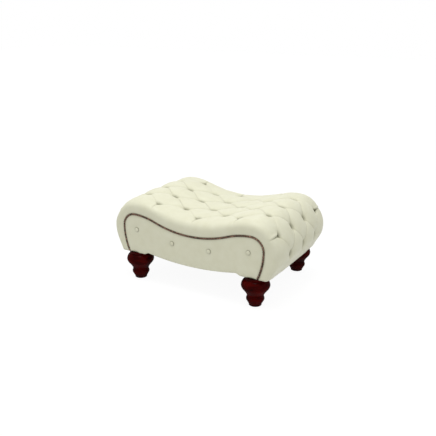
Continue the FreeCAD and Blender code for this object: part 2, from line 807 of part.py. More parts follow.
def padded(body, sketch, length, expression, reverse=False):
    pad = body.newObject("PartDesign::Pad", "Pad")
    pad.Profile = sketch
    pad.Length = length
    pad.setExpression("Length", expression)
    pad.Reversed = reverse
    doc.recompute()
    return pad


def add_feature(label, shape):
    feature = doc.addObject("Part::Feature", label)
    feature.Label = label
    feature.Shape = shape
    return feature


def amount(alias):
    """A cell as an expression and its value."""
    return cell(alias), size(alias)


# Facing-shaped pieces: half of the outline is drawn once, padded and mirrored

def draw_half_outline(sketch, outset, lift):
    """Outset and lift are each an expression and its value."""
    moved_out, out = outset
    lifted, up = lift
    hem = plinth + up
    outline = even_outline(out, hem)
    step_top = hem + size("step_rise")
    run = size("step_outer") - size("step_inner")
    step_radius = (run ** 2 + size("step_rise") ** 2) / (4 * size("step_rise"))
    turn = math.asin(run / 2 / step_radius)
    bow_low = size("apron_height") + up
    bow_drop = step_top - bow_low
    bow_radius = (size("step_inner") ** 2 + bow_drop ** 2) / (2 * bow_drop)
    bow_turn = math.asin(size("step_inner") / bow_radius)

    def arc(centre, radius, start, end):
        circle = Part.Circle(Vector(centre.x, centre.z, 0), Vector(0, 0, 1), radius)
        sketch.addGeometry(Part.ArcOfCircle(circle, start, end), False)

    def angle(centre, point):
        return math.atan2(point.z - centre.z, point.x - centre.x)

    dip_turn = angle(outline.dip_centre, outline.dip_end)
    arc(outline.dip_centre, outline.dip_radius, -math.pi / 2, dip_turn)
    crest_first = angle(outline.crest_centre, outline.dip_end)
    crest_last = angle(outline.crest_centre, outline.crest_end)
    arc(outline.crest_centre, outline.crest_radius, crest_last, crest_first)
    arc(shoulder, outline.shoulder_radius, 0, crest_last)
    arc(outline.side_centre, outline.side_radius, angle(outline.side_centre, outline.side_end), 0)
    hem_line = [Vector(outline.side_end.x, hem, 0), Vector(size("step_outer"), hem, 0)]
    sketch.addGeometry(Part.LineSegment(*hem_line), False)
    low_centre = Vector(size("step_outer"), 0, hem + step_radius)
    arc(low_centre, step_radius, -math.pi / 2 - turn, -math.pi / 2)
    high_centre = Vector(size("step_inner"), 0, step_top - step_radius)
    arc(high_centre, step_radius, math.pi / 2 - turn, math.pi / 2)
    bow_centre = Vector(0, 0, bow_low + bow_radius)
    arc(bow_centre, bow_radius, -math.pi / 2, -math.pi / 2 + bow_turn)
    middle_line = [Vector(0, bow_low, 0), Vector(0, outline.middle.z, 0)]
    sketch.addGeometry(Part.LineSegment(*middle_line), False)
    dip, crest, corner, side, straight, low_step, high_step, bow, axis = range(9)
    for first, first_end, second, second_end in (
        (dip, 2, crest, 2), (crest, 1, corner, 2), (corner, 1, side, 2),
        (straight, 2, low_step, 2), (low_step, 1, high_step, 1),
    ):
        sketch.addConstraint(Sketcher.Constraint("Tangent", first, first_end, second, second_end))
    for first, first_end, second, second_end in (
        (side, 1, straight, 1), (high_step, 2, bow, 2), (bow, 1, axis, 1), (axis, 2, dip, 1),
    ):
        sketch.addConstraint(Sketcher.Constraint("Coincident", first, first_end, second, second_end))
    for piece in (dip, bow):
        sketch.addConstraint(Sketcher.Constraint("PointOnObject", piece, 3, -2))
    sketch.addConstraint(Sketcher.Constraint("PointOnObject", axis, 1, -2))
    sketch.addConstraint(Sketcher.Constraint("PointOnObject", axis, 2, -2))
    sketch.addConstraint(Sketcher.Constraint("Horizontal", straight))
    sketch.addConstraint(Sketcher.Constraint("Horizontal", corner, 3, side, 3))
    sketch.addConstraint(Sketcher.Constraint("Vertical", high_step, 3, high_step, 2))
    sketch.addConstraint(Sketcher.Constraint("Equal", low_step, high_step))
    outs = f"({moved_out})"
    bind(sketch, "Radius", (dip,), outline.dip_radius, f"Sizes.dip_radius - {outs}")
    bind(sketch, "Radius", (crest,), outline.crest_radius, f"Sizes.crest_radius + {outs}")
    bind(sketch, "Radius", (corner,), outline.shoulder_radius, f"Sizes.shoulder_radius + {outs}")
    bind(sketch, "Radius", (side,), outline.side_radius, f"Sizes.side_radius + {outs}")
    bind(sketch, "DistanceY", (-1, 1, dip, 1), outline.middle.z, f"Sizes.dip_height + {outs}")
    pin(sketch, corner, 3, amount("shoulder_across"), amount("shoulder_height"))
    bind(sketch, "DistanceY", (-1, 1, straight, 2), hem, f"Sizes.plinth_height + {lifted}")
    bind(sketch, "DistanceX", (-1, 1, straight, 2), size("step_outer"), cell("step_outer"))
    rise = f"Sizes.plinth_height + Sizes.step_rise + {lifted}"
    pin(sketch, high_step, 2, amount("step_inner"), (rise, step_top))
    bind(sketch, "DistanceY", (-1, 1, bow, 1), bow_low, f"Sizes.apron_height + {lifted}")


def place_plate(body, depth, side):
    """Sets a plate at its depth on the front, or turned round on the back."""
    expression, value = depth
    turn = FreeCAD.Rotation(Vector(0, 0, 1), 90 * (1 - side))
    body.Placement = FreeCAD.Placement(Vector(0, -value * side, 0), turn)
    body.setExpression("Placement.Base.y", f"-({expression}) * {side}")
    doc.recompute()


layers = "Sizes.facing_board_thickness - Sizes.facing_pad_thickness - Sizes.leather_thickness"
stack = f"(Sizes.half_depth - {layers})"
no_lift = ("0", 0)
panel_back = (f"{stack} - Sizes.panel_thickness", panel_inside)
board_back = (stack, panel_face)
board_face = (f"{stack} + Sizes.facing_board_thickness", panel_face + size("facing_board_thickness"))
seam = ("-Sizes.seam_gap", -size("seam_gap"))
pad_face = ("Sizes.half_depth - Sizes.leather_thickness", half_depth - size("leather_thickness"))

for name, side in (("front", 1), ("back", -1)):
    for piece, outset, lift, depth, thickness in (
        ("side_panel", amount("panel_outset"), amount("apron_lift"), panel_back, "panel_thickness"),
        ("facing_board", seam, no_lift, board_back, "facing_board_thickness"),
        ("facing_pad", seam, no_lift, board_face, "facing_pad_thickness"),
        ("facing_leather", seam, no_lift, pad_face, "leather_thickness"),
    ):
        plate = new_body(f"{name}_{piece}")
        sketch = new_sketch(plate, "Outline", "XZ_Plane")
        draw_half_outline(sketch, outset, lift)
        doc.recompute()
        half_plate = padded(plate, sketch, size(thickness), cell(thickness))
        mirror = plate.newObject("PartDesign::Mirrored", "Mirrored")
        mirror.Originals = [half_plate]
        mirror.MirrorPlane = (origin_plane(plate, "YZ_Plane"), [""])
        finish_body(plate, mirror)
        place_plate(plate, depth, side)


# Frame between the side panels

def arc_pad(label, draw, side):
    """A rail with one curved face, drawn on the right half and turned round for the left."""
    body = new_body(label)
    sketch = new_sketch(body, "Section", "XZ_Plane")
    draw(sketch)
    doc.recompute()
    pad = body.newObject("PartDesign::Pad", "Pad")
    pad.Profile = sketch
    pad.Midplane = True
    pad.setExpression("Length", f"2 * ({stack} - Sizes.panel_thickness)")
    finish_body(body, pad)
    body.Placement = FreeCAD.Placement(Vector(0, 0, 0), FreeCAD.Rotation(Vector(0, 0, 1), 90 * (1 - side)))
    return body


def polar(radius, degrees, inward=0):
    """A point about the shoulder's centre, as expressions and values; inward moves it into the rail."""
    middle = "(Sizes.rail_start_angle + Sizes.rail_end_angle) / 2"
    middle_angle = math.radians((size("rail_start_angle") + size("rail_end_angle")) / 2)
    angle = math.radians(size(degrees))
    reach = f"({radius[0]})"
    into = f"{inward} * Sizes.rail_depth"
    across = f"Sizes.shoulder_across + {reach} * sin({cell(degrees)}) - {into} * sin({middle})"
    up = f"Sizes.shoulder_height + {reach} * cos({cell(degrees)}) - {into} * cos({middle})"
    depth = inward * size("rail_depth")
    point_across = shoulder.x + radius[1] * math.sin(angle) - depth * math.sin(middle_angle)
    point_up = shoulder.z + radius[1] * math.cos(angle) - depth * math.cos(middle_angle)
    return (across, point_across), (up, point_up)


def draw_shoulder_rail(sketch):
    reach = ("Sizes.shoulder_radius + Sizes.panel_outset", size("shoulder_radius") + size("panel_outset"))
    first = polar(reach, "rail_start_angle")
    last = polar(reach, "rail_end_angle")
    deep_last = polar(reach, "rail_end_angle", 1)
    deep_first = polar(reach, "rail_start_angle", 1)
    circle = Part.Circle(Vector(shoulder.x, shoulder.z, 0), Vector(0, 0, 1), reach[1])
    start = math.pi / 2 - math.radians(size("rail_end_angle"))
    end = math.pi / 2 - math.radians(size("rail_start_angle"))
    sketch.addGeometry(Part.ArcOfCircle(circle, start, end), False)
    corners = [Vector(point[0][1], point[1][1], 0) for point in (last, deep_last, deep_first, first)]
    for index in range(3):
        sketch.addGeometry(Part.LineSegment(corners[index], corners[index + 1]), False)
    for joined in ((0, 1, 1, 1), (1, 2, 2, 1), (2, 2, 3, 1), (3, 2, 0, 2)):
        sketch.addConstraint(Sketcher.Constraint("Coincident", *joined))
    pin(sketch, 0, 3, amount("shoulder_across"), amount("shoulder_height"))
    bind(sketch, "Radius", (0,), reach[1], reach[0])
    bind(sketch, "DistanceX", (-1, 1, 0, 1), last[0][1], last[0][0])
    bind(sketch, "DistanceX", (-1, 1, 0, 2), first[0][1], first[0][0])
    pin(sketch, 2, 1, *deep_last)
    pin(sketch, 2, 2, *deep_first)


def draw_end_rail(sketch):
    outline = even_outline(size("panel_outset"), plinth + size("underside_recess"))
    low = outline.hem
    high = low + size("end_rail_height")
    inner = size("end_rail_across")
    centre = outline.side_centre
    circle = Part.Circle(Vector(centre.x, centre.z, 0), Vector(0, 0, 1), outline.side_radius)
    start = math.atan2(low - centre.z, outline.across(low) - centre.x)
    end = math.atan2(high - centre.z, outline.across(high) - centre.x)
    sketch.addGeometry(Part.ArcOfCircle(circle, start, end), False)
    corners = [(outline.across(high), high), (inner, high), (inner, low), (outline.across(low), low)]
    for index in range(3):
        near, far = corners[index], corners[index + 1]
        sketch.addGeometry(Part.LineSegment(Vector(*near, 0), Vector(*far, 0)), False)
    for joined in ((0, 2, 1, 1), (1, 2, 2, 1), (2, 2, 3, 1), (3, 2, 0, 1)):
        sketch.addConstraint(Sketcher.Constraint("Coincident", *joined))
    sketch.addConstraint(Sketcher.Constraint("Horizontal", 1))
    sketch.addConstraint(Sketcher.Constraint("Horizontal", 3))
    centre_across = "Sizes.shoulder_across + Sizes.shoulder_radius - Sizes.side_radius"
    pin(sketch, 0, 3, (centre_across, centre.x), amount("shoulder_height"))
    bind(sketch, "Radius", (0,), outline.side_radius, "Sizes.side_radius + Sizes.panel_outset")
    base = "Sizes.plinth_height + Sizes.underside_recess"
    pin(sketch, 2, 1, amount("end_rail_across"), (f"{base} + Sizes.end_rail_height", high))
    pin(sketch, 2, 2, amount("end_rail_across"), (base, low))


def bar(label, length, width, height, corner):
    """A square bar; each size and each coordinate of its lowest corner is an expression."""
    box = doc.addObject("Part::Box", label)
    box.Label = label
    for name, expression in zip(("Length", "Width", "Height"), (length, width, height)):
        box.setExpression(name, expression)
    for axis, expression in zip("xyz", corner):
        box.setExpression(f"Placement.Base.{axis}", expression)
    doc.recompute()


for name, side in (("right", 1), ("left", -1)):
    arc_pad(f"{name}_shoulder_rail", draw_shoulder_rail, side)
    arc_pad(f"{name}_end_rail", draw_end_rail, side)

inside = f"({stack} - Sizes.panel_thickness)"
frame_base = "Sizes.plinth_height + Sizes.underside_recess"
clear = f"({inside} - Sizes.batten_width)"
corner = ("-Sizes.stretcher_width / 2", f"-{clear}", frame_base)
bar("centre_stretcher", "Sizes.stretcher_width", f"2 * {clear}", "Sizes.stretcher_height", corner)
block_inner = "(Sizes.end_rail_across - Sizes.block_length)"
for name, corner in (("front", f"-{inside}"), ("back", f"{inside} - Sizes.batten_width")):
    bar(
        f"{name}_batten", f"2 * {block_inner}", "Sizes.batten_width", "Sizes.batten_width",
        (f"-{block_inner}", corner, frame_base),
    )

for name, across, deep in (
    ("front_right", 1, -1), ("front_left", -1, -1), ("back_right", 1, 1), ("back_left", -1, 1),
):
    blank = new_body(f"{name}_blank")
    sketch = new_sketch(blank, "Outline", "XY_Plane")
    outer = size("end_rail_across")
    long_side = size("block_length")
    short_side = long_side - size("block_corner")
    short_text = "(Sizes.block_length - Sizes.block_corner)"
    corners = []
    for back, inward, back_text, inward_text in (
        (0, 0, "0", "0"),
        (long_side, 0, "Sizes.block_length", "0"),
        (long_side, short_side, "Sizes.block_length", short_text),
        (short_side, long_side, short_text, "Sizes.block_length"),
        (0, long_side, "0", "Sizes.block_length"),
    ):
        along = (f"{across} * (Sizes.end_rail_across - {back_text})", across * (outer - back))
        wide = (f"{deep} * ({inside} - {inward_text})", deep * (panel_inside - inward))
        corners.append((along, wide))
    draw_polygon(sketch, corners)
    doc.recompute()
    finish_body(blank, padded(blank, sketch, size("block_height"), cell("block_height")))
    blank.setExpression("Placement.Base.z", "Sizes.plinth_height")
    bore = doc.addObject("Part::Prism", f"{name}_bolt_bore")
    bore.Polygon = BOLT_SIDES
    bore.Placement = FreeCAD.Placement(Vector(0, 0, 0), FreeCAD.Rotation(Vector(0, 0, 1), 180 / BOLT_SIDES))
    bore.setExpression("Circumradius", "Sizes.bolt_radius + Sizes.bolt_gap")
    bore.setExpression("Height", cell("block_height"))
    bore.setExpression("Placement.Base.x", f"{across} * Sizes.foot_across")
    bore.setExpression("Placement.Base.y", f"{deep} * Sizes.foot_deep")
    bore.setExpression("Placement.Base.z", "Sizes.plinth_height")
    block = doc.addObject("Part::Cut", f"{name}_corner_block")
    block.Label = f"{name}_corner_block"
    block.Base = blank
    block.Tool = bore
    doc.recompute()

# Deck, padding and leather

def deck_band(inner_outset, outer_outset, depth):
    """The space between two outlines over the whole seat, down to the frame's underside."""
    hem = plinth + size("underside_recess")
    outer = block_between(even_outline(outer_outset, hem), -depth, depth)
    return outer.cut(block_between(even_outline(inner_outset, hem), -depth, depth))


def wedge(first, last, side):
    """A slice about a shoulder's centre between two angles from straight up, right across the stool."""
    reach = size("shoulder_radius") + size("dip_height")
    corners = [shoulder]
    for degrees in (first, (first + last) / 2, last):
        angle = math.radians(degrees)
        corners.append(shoulder + Vector(math.sin(angle), 0, math.cos(angle)) * reach)
    outline = [moved(corner, -half_depth, side) for corner in corners]
    return Part.Face(Part.makePolygon(outline + [outline[0]])).extrude(Vector(0, 2 * half_depth, 0))


def slab(left, right, low):
    return Part.makeBox(right - left, 2 * half_depth, 2 * half_depth, Vector(left, -half_depth, low))


def seat_zone():
    """Everything above the shoulders' centres and inboard of the end boards' top edges."""
    start = size("board_start_angle") - math.degrees(size("seam_gap") / size("shoulder_radius"))
    middle = slab(-shoulder.x, shoulder.x, plinth)
    return middle.fuse([wedge(0, start, 1), wedge(0, start, -1)])


def strap_shapes():
    web = deck_band(size("panel_outset"), size("panel_outset") + size("strap_thickness"), panel_face)
    straps = []
    for row in range(-ROWS + 2, ROWS - 1):
        middle = on_outline(facing_edge, place_of(abs(row)))[0].x * (1 if row >= 0 else -1)
        half = size("strap_width") / 2
        straps += web.common(slab(middle - half, middle + half, shoulder.z)).Solids
    return Part.Compound(straps)


def end_board_shape(side):
    hole_length = 3 * (deck_outset - size("panel_outset"))
    board = deck_band(size("panel_outset"), deck_outset, panel_face)
    end_zone = slab(shoulder.x, 2 * shoulder.x, 0)
    if side < 0:
        end_zone = slab(-2 * shoulder.x, -shoulder.x, 0)
    board = board.common(end_zone.cut(wedge(-1, size("board_start_angle"), side)))
    holes = []
    for point, line in at_buttons(even_outline(size("panel_outset"), plinth)):
        if point.x * side > 0 and line.x * side > END_LEAN:
            holes.append(prism(point - line, line, size("twine_radius") * 2, hole_length, 4))
    return board.cut(Part.Compound(holes))


add_feature("webbing_straps", strap_shapes())
hessian_low = size("panel_outset") + size("strap_thickness")
add_feature("hessian_sheet", deck_band(hessian_low, deck_outset, panel_face).common(seat_zone()))
for name, side in (("right", 1), ("left", -1)):
    add_feature(f"{name}_end_board", end_board_shape(side))
add_feature("foam_pad", foam_pad_shape())
add_feature("leather_cover", leather_cover_shape())


# Buttons, twines and the tabs that hold them

def button_shape(radius, height, sides):
    """A covered button: narrow where it presses the leather, widest below its dome."""
    return faceted([(radius / 2, 0), (radius, height / 2), (0, height)], sides)


def placed_copies(shape, places):
    copies = []
    for point, line in places:
        copy = shape.copy()
        copy.Placement = facing_along(point, line)
        copies.append(copy)
    return Part.Compound(copies)


def seat_frames():
    """The middle of each deep button's flat seat, and the direction that it faces."""
    frames = []
    for row in range(-ROWS, ROWS + 1):
        for depth in row_buttons(row):
            corners = [vertex.Point for vertex in seat(row, depth).OuterWire.OrderedVertexes]
            middle = (corners[0] + corners[2]) / 2
            if row % 2 == 0 and depth > pitch:
                middle = (corners[0] + corners[3]) / 2
            normal = (corners[1] - corners[0]).cross(corners[-1] - corners[0]).normalize()
            if normal.dot(middle - Vector(0, middle.y, plinth)) < 0:
                normal = normal * -1
            frames.append((middle, normal))
    return frames


deep_button = button_shape(size("button_radius"), size("button_height"), 6)
add_feature("deep_buttons", placed_copies(deep_button, seat_frames()))

foam_top = at_buttons(padding_outline(0, plinth))
deck_top = at_buttons(even_outline(deck_outset, plinth))
deck_low = at_buttons(even_outline(size("panel_outset"), plinth))
twines = []
for (top, line), (deck, _), (low, _) in zip(foam_top, deck_top, deck_low):
    end = low if abs(line.x) > END_LEAN else deck
    twines.append(prism(end, line, size("twine_radius"), (top - end).Length, 3))
tabs = []
for low, line in at_buttons(even_outline(size("panel_outset"), plinth), True):
    under = low - line * (size("tab_thickness") + size("tab_gap"))
    tabs.append(prism(under, line, size("tab_radius"), size("tab_thickness"), 4))
add_feature("button_twines", Part.Compound(twines))
add_feature("twine_tabs", Part.Compound(tabs))

facing_button = button_shape(size("facing_button_radius"), size("facing_button_height"), 8)
for name, side in (("front", 1), ("back", -1)):
    places = []
    for pair in ("outer_button", "inner_button"):
        for end in (-1, 1):
            middle = Vector(end * size(f"{pair}_across"), -half_depth * side, size(f"{pair}_height"))
            places.append((middle, Vector(0, -side, 0)))
    add_feature(f"{name}_facing_buttons", placed_copies(facing_button, places))

# Nails along the facing's edge, from one hem over the seat to the other

head = faceted([(size("nail_radius"), 0), (0, size("nail_height"))], 6)
nail_edge = even_outline(0, plinth + size("nail_radius"))
for name, side in (("front", 1), ("back", -1)):
    path = Part.Wire(outline_edges(nail_edge, -half_depth * side))
    points = path.discretize(Number=int(path.Length / size("nail_pitch")) + 1)
    places = [(point, Vector(0, -side, 0)) for point in points]
    add_feature(f"{name}_nail_trim", placed_copies(head, places))


# Feet and their fixings

def add_corner_group(label, shape):
    """One named group: a piece on each foot's axis, mirrored from corner to corner."""
    shape.translate(Vector(size("foot_across"), -size("foot_deep"), 0))
    across = shape.mirror(Vector(0, 0, 0), Vector(1, 0, 0))
    copies = [shape, across]
    copies += [piece.mirror(Vector(0, 0, 0), Vector(0, 1, 0)) for piece in (shape, across)]
    add_feature(label, Part.Compound(copies))


def tangent_angle(start, centre, radius, turn):
    """Angle at a circle's centre where a line from a point outside touches the circle."""
    between = start - centre
    return math.atan2(between.y, between.x) + turn * math.acos(radius / between.Length)


def arc_chain(centre, radius, first, last, runs):
    points = []
    for step in range(runs + 1):
        angle = first + (last - first) * step / runs
        points.append((centre.x + radius * math.cos(angle), centre.y + radius * math.sin(angle)))
    return points


def foot_shape():
    """The turned foot: base, small ring, neck, wide bulb and collar, from the floor up."""
    ring_centre = Vector(size("ring_radius") - size("ring_curve"), size("ring_height"), 0)
    bulb_centre = Vector(size("bulb_radius") - size("bulb_curve"), size("bulb_height"), 0)
    base_top = Vector(size("base_radius"), size("base_height"), 0)
    neck = Vector(size("neck_radius"), size("neck_height"), 0)
    ring_first = tangent_angle(base_top, ring_centre, size("ring_curve"), 1)
    ring_last = tangent_angle(neck, ring_centre, size("ring_curve"), -1)
    bulb_first = tangent_angle(neck, bulb_centre, size("bulb_curve"), 1)
    bulb_last = math.acos((size("foot_top_radius") - bulb_centre.x) / size("bulb_curve"))
    rings = [(size("base_radius"), size("glide_show")), (base_top.x, base_top.y)]
    rings += arc_chain(ring_centre, size("ring_curve"), ring_first, ring_last, RING_RUNS)
    rings.append((neck.x, neck.y))
    rings += arc_chain(bulb_centre, size("bulb_curve"), bulb_first, bulb_last, BULB_RUNS)
    rings.append((size("foot_top_radius"), plinth))
    hole = size("bolt_radius") + size("bolt_gap")
    depth = size("bolt_in_foot") + size("bolt_gap")
    bore = faceted([(hole, plinth - depth), (hole, plinth + depth)], BOLT_SIDES)
    return faceted(rings, FOOT_SIDES).cut(Part.Compound([bore, glide_shape()]))


def glide_shape():
    radius = size("glide_radius")
    return faceted([(radius, 0), (radius, size("glide_thickness"))], GLIDE_SIDES)


add_corner_group("turned_feet", foot_shape())
add_corner_group("foot_glides", glide_shape())
bolt_low = plinth - size("bolt_in_foot")
bolt = [(size("bolt_radius"), bolt_low), (size("bolt_radius"), bolt_low + size("bolt_length"))]
add_corner_group("foot_bolts", faceted(bolt, BOLT_SIDES))
nut_low = plinth + size("block_height")
nut_hole = size("bolt_radius") + size("bolt_gap")
nut_corner = size("nut_across") / math.sqrt(3)
nut = faceted([(nut_corner, nut_low), (nut_corner, nut_low + size("nut_height"))], 6)
add_corner_group("foot_nuts", nut.cut(faceted([(nut_hole, plinth), (nut_hole, 2 * plinth)], BOLT_SIDES)))

# Thin cloth under the frame, notched round the corner blocks

cloth = new_body("dust_cover")
sketch = new_sketch(cloth, "Outline", "XY_Plane")
far_across_value = size("end_rail_across") + size("dust_cover_lap")
far_across = ("Sizes.end_rail_across + Sizes.dust_cover_lap", far_across_value)
room = size("block_length") + size("seam_gap")
near_across = (f"{block_inner} - Sizes.seam_gap", size("end_rail_across") - room)
far_deep = (f"{inside} - Sizes.seam_gap", panel_inside - size("seam_gap"))
near_deep = (f"{inside} - Sizes.block_length - Sizes.seam_gap", panel_inside - room)


def signed(distance, sign):
    expression, value = distance
    return f"{sign} * ({expression})", sign * value


corners = []
for across, deep, far_first in ((1, -1, False), (1, 1, True), (-1, 1, False), (-1, -1, True)):
    end = (signed(far_across, across), signed(near_deep, deep))
    inner = (signed(near_across, across), signed(near_deep, deep))
    long_edge = (signed(near_across, across), signed(far_deep, deep))
    corners += [end, inner, long_edge] if far_first else [long_edge, inner, end]
draw_polygon(sketch, corners)
doc.recompute()
pad = padded(cloth, sketch, size("dust_cover_thickness"), cell("dust_cover_thickness"))
finish_body(cloth, pad)
cloth.setExpression("Placement.Base.z", f"{frame_base} - Sizes.dust_cover_thickness")
doc.recompute()

# Checks, then one file for each named piece

for item in doc.Objects:
    if "Invalid" in item.State or "Error" in item.State:
        raise RuntimeError(f"{item.Label} did not build")
pieces = [item for item in doc.Objects if item.isDerivedFrom("Part::Feature") and not item.InList]
for item in pieces:
    if item.Shape.isNull() or not item.Shape.isValid() or not item.Shape.Solids:
        raise RuntimeError(f"{item.Label} has no valid solid")
os.makedirs("parts", exist_ok=True)
for item in pieces:
    item.Shape.exportStep(f"parts/{item.Label}.step")
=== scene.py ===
import bmesh
import bpy
import math
import random
from mathutils import Matrix, Vector


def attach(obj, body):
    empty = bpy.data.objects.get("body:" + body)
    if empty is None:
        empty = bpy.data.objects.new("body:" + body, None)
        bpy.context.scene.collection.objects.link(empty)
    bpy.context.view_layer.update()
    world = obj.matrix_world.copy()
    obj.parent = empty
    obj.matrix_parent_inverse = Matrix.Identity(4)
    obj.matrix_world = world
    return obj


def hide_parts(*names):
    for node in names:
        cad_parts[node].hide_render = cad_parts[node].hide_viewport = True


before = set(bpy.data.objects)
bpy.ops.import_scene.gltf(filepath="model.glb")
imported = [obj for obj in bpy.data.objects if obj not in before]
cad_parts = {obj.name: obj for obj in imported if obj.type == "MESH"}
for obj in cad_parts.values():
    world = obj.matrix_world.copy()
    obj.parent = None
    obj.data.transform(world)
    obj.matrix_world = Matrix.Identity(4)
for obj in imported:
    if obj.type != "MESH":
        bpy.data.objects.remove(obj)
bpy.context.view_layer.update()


# SETTING: the camera stands where the photograph was taken from, solved from points of the picture.
# One broad soft lamp above the stool and an even white room light it. The white floor and the room
# look white to the camera and to polished pieces, and the floor keeps a little of the shadow.

camera_place = Vector((1.37737, -2.43569, 1.20003))
camera_right = Vector((0.86768811, 0.49708111, 0.00526437))
camera_up = Vector((-0.16015729, 0.26950854, 0.94958664))
camera_back = Vector((0.47060278, -0.82478817, 0.31346052))
scene = bpy.context.scene
camera = bpy.data.objects.new("camera", bpy.data.cameras.new("camera"))
scene.collection.objects.link(camera)
scene.camera = camera
camera_turn = Matrix((camera_right, camera_up, camera_back)).transposed().to_4x4()
camera.matrix_world = Matrix.Translation(camera_place) @ camera_turn
camera.data.sensor_width = 36
camera.data.lens = 52.28
camera.data.clip_start = 0.1
camera.data.clip_end = 60
scene.view_settings.view_transform = "Standard"


def set_sockets(node, sockets):
    """Constants set on a node's own sockets; an underscore in a name stands for a space."""
    for socket, value in sockets.items():
        node.inputs[socket.replace("_", " ")].default_value = value


def add_node(nodes, kind, **sockets):
    node = nodes.new("ShaderNode" + kind)
    set_sockets(node, sockets)
    return node


def new_material(name, colour, roughness, **sockets):
    """A material and its node tree, with the constants set on the shader itself."""
    material = bpy.data.materials.new(name)
    material.use_nodes = True
    nodes = material.node_tree.nodes
    shader = nodes["Principled BSDF"]
    shader.inputs["Base Color"].default_value = (*colour, 1)
    shader.inputs["Roughness"].default_value = roughness
    set_sockets(shader, sockets)
    return material, nodes, material.node_tree.links, shader


def seen_directly(nodes, links):
    """1 for what the camera, a reflection or glass sees, 0 for light that falls on the pieces."""
    path = nodes.new("ShaderNodeLightPath")
    add = nodes.new("ShaderNodeMath")
    add_more = nodes.new("ShaderNodeMath")
    add_more.use_clamp = True
    links.new(path.outputs["Is Camera Ray"], add.inputs[0])
    links.new(path.outputs["Is Glossy Ray"], add.inputs[1])
    links.new(add.outputs[0], add_more.inputs[0])
    links.new(path.outputs["Is Transmission Ray"], add_more.inputs[1])
    return add_more.outputs[0]


floor_reach, floor_glow, floor_glow_share = 14, 1.1, 0.85
round_a_square = ((-1, -1), (1, -1), (1, 1), (-1, 1))
floor_mesh = bmesh.new()
for across, deep in round_a_square:
    floor_mesh.verts.new((across * floor_reach, deep * floor_reach, 0))
floor_mesh.faces.new(floor_mesh.verts)
floor_data = bpy.data.meshes.new("floor")
floor_mesh.to_mesh(floor_data)
floor = bpy.data.objects.new("floor", floor_data)
scene.collection.objects.link(floor)
floor_material, nodes, links, shader = new_material("floor_white", (0.82, 0.82, 0.82), 0.9)
white = add_node(nodes, "Emission", Strength=floor_glow)
blend = nodes.new("ShaderNodeMixShader")
share = nodes.new("ShaderNodeMath")
share.operation = "MULTIPLY"
share.inputs[1].default_value = floor_glow_share
links.new(seen_directly(nodes, links), share.inputs[0])
links.new(share.outputs[0], blend.inputs[0])
links.new(shader.outputs[0], blend.inputs[1])
links.new(white.outputs[0], blend.inputs[2])
links.new(blend.outputs[0], nodes["Material Output"].inputs["Surface"])
floor_data.materials.append(floor_material)

room_strength = 0.595
world = bpy.data.worlds.new("white_room")
scene.world = world
world.use_nodes = True
nodes, links = world.node_tree.nodes, world.node_tree.links
room = nodes["Background"]
set_sockets(room, {"Strength": room_strength, "Color": (1, 1, 1, 1)})
seen_room = add_node(nodes, "Background", Color=(1, 1, 1, 1))
blend = nodes.new("ShaderNodeMixShader")
links.new(seen_directly(nodes, links), blend.inputs[0])
links.new(room.outputs[0], blend.inputs[1])
links.new(seen_room.outputs[0], blend.inputs[2])
links.new(blend.outputs[0], nodes["World Output"].inputs["Surface"])

lamp_place, lamp_aim = Vector((-0.05, -0.35, 2.4)), Vector((0, 0, 0.3))
lamp = bpy.data.objects.new("top_lamp", bpy.data.lights.new("top_lamp", "AREA"))
lamp.data.shape = "RECTANGLE"
lamp.data.size = 1.7
lamp.data.size_y = 1.3
lamp.data.energy = 24
lamp_turn = (lamp_place - lamp_aim).to_track_quat("Z", "Y").to_matrix().to_4x4()
lamp.matrix_world = Matrix.Translation(lamp_place) @ lamp_turn
scene.collection.objects.link(lamp)


# FRAME: side panels and facing boards cut from plywood, rails, battens, blocks and a stretcher of
# sawn hardwood, glued and stapled together. All of it is hidden once the stool is covered.

def lay_on_piece(nodes, links, *textures):
    """Textures that keep their place and size on the piece."""
    place = nodes.new("ShaderNodeTexCoord")
    for texture in textures:
        links.new(place.outputs["Object"], texture.inputs["Vector"])


def two_tones(nodes, links, pattern, onto, dark, light, low=0.0, high=1.0):
    """Colours a socket from a dark tone to a light one, as a pattern goes."""
    tint = nodes.new("ShaderNodeValToRGB")
    first, last = tint.color_ramp.elements
    first.color, last.color = (*dark, 1), (*light, 1)
    first.position, last.position = low, high
    links.new(pattern, tint.inputs[0])
    links.new(tint.outputs[0], onto)


def add_relief(links, height, bump, onto):
    """Lets a height stand out as a fine relief on a shader, or under another bump."""
    links.new(height, bump.inputs["Height"])
    links.new(bump.outputs[0], onto.inputs["Normal"])


def wood_material(name, dark, light, along, rings, roughness):
    """Wood whose grain runs along X, Y or Z, with fine pores and darker rings."""
    material, nodes, links, shader = new_material(name, light, roughness)
    scale = [rings, rings, rings]
    scale["XYZ".index(along)] = rings * 0.06
    stretch = add_node(nodes, "Mapping", Scale=scale)
    grain = add_node(nodes, "TexNoise", Scale=1, Detail=6, Distortion=0.6)
    lay_on_piece(nodes, links, stretch)
    links.new(stretch.outputs[0], grain.inputs["Vector"])
    two_tones(nodes, links, grain.outputs[0], shader.inputs["Base Color"], dark, light, 0.36, 0.62)
    add_relief(links, grain.outputs[0], add_node(nodes, "Bump", Strength=0.12, Distance=0.001), shader)
    return material


def give(node, material):
    """A piece of the frame keeps its CAD shape and gets this finish."""
    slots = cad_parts[node].data.materials
    slots.clear()
    slots.append(material)


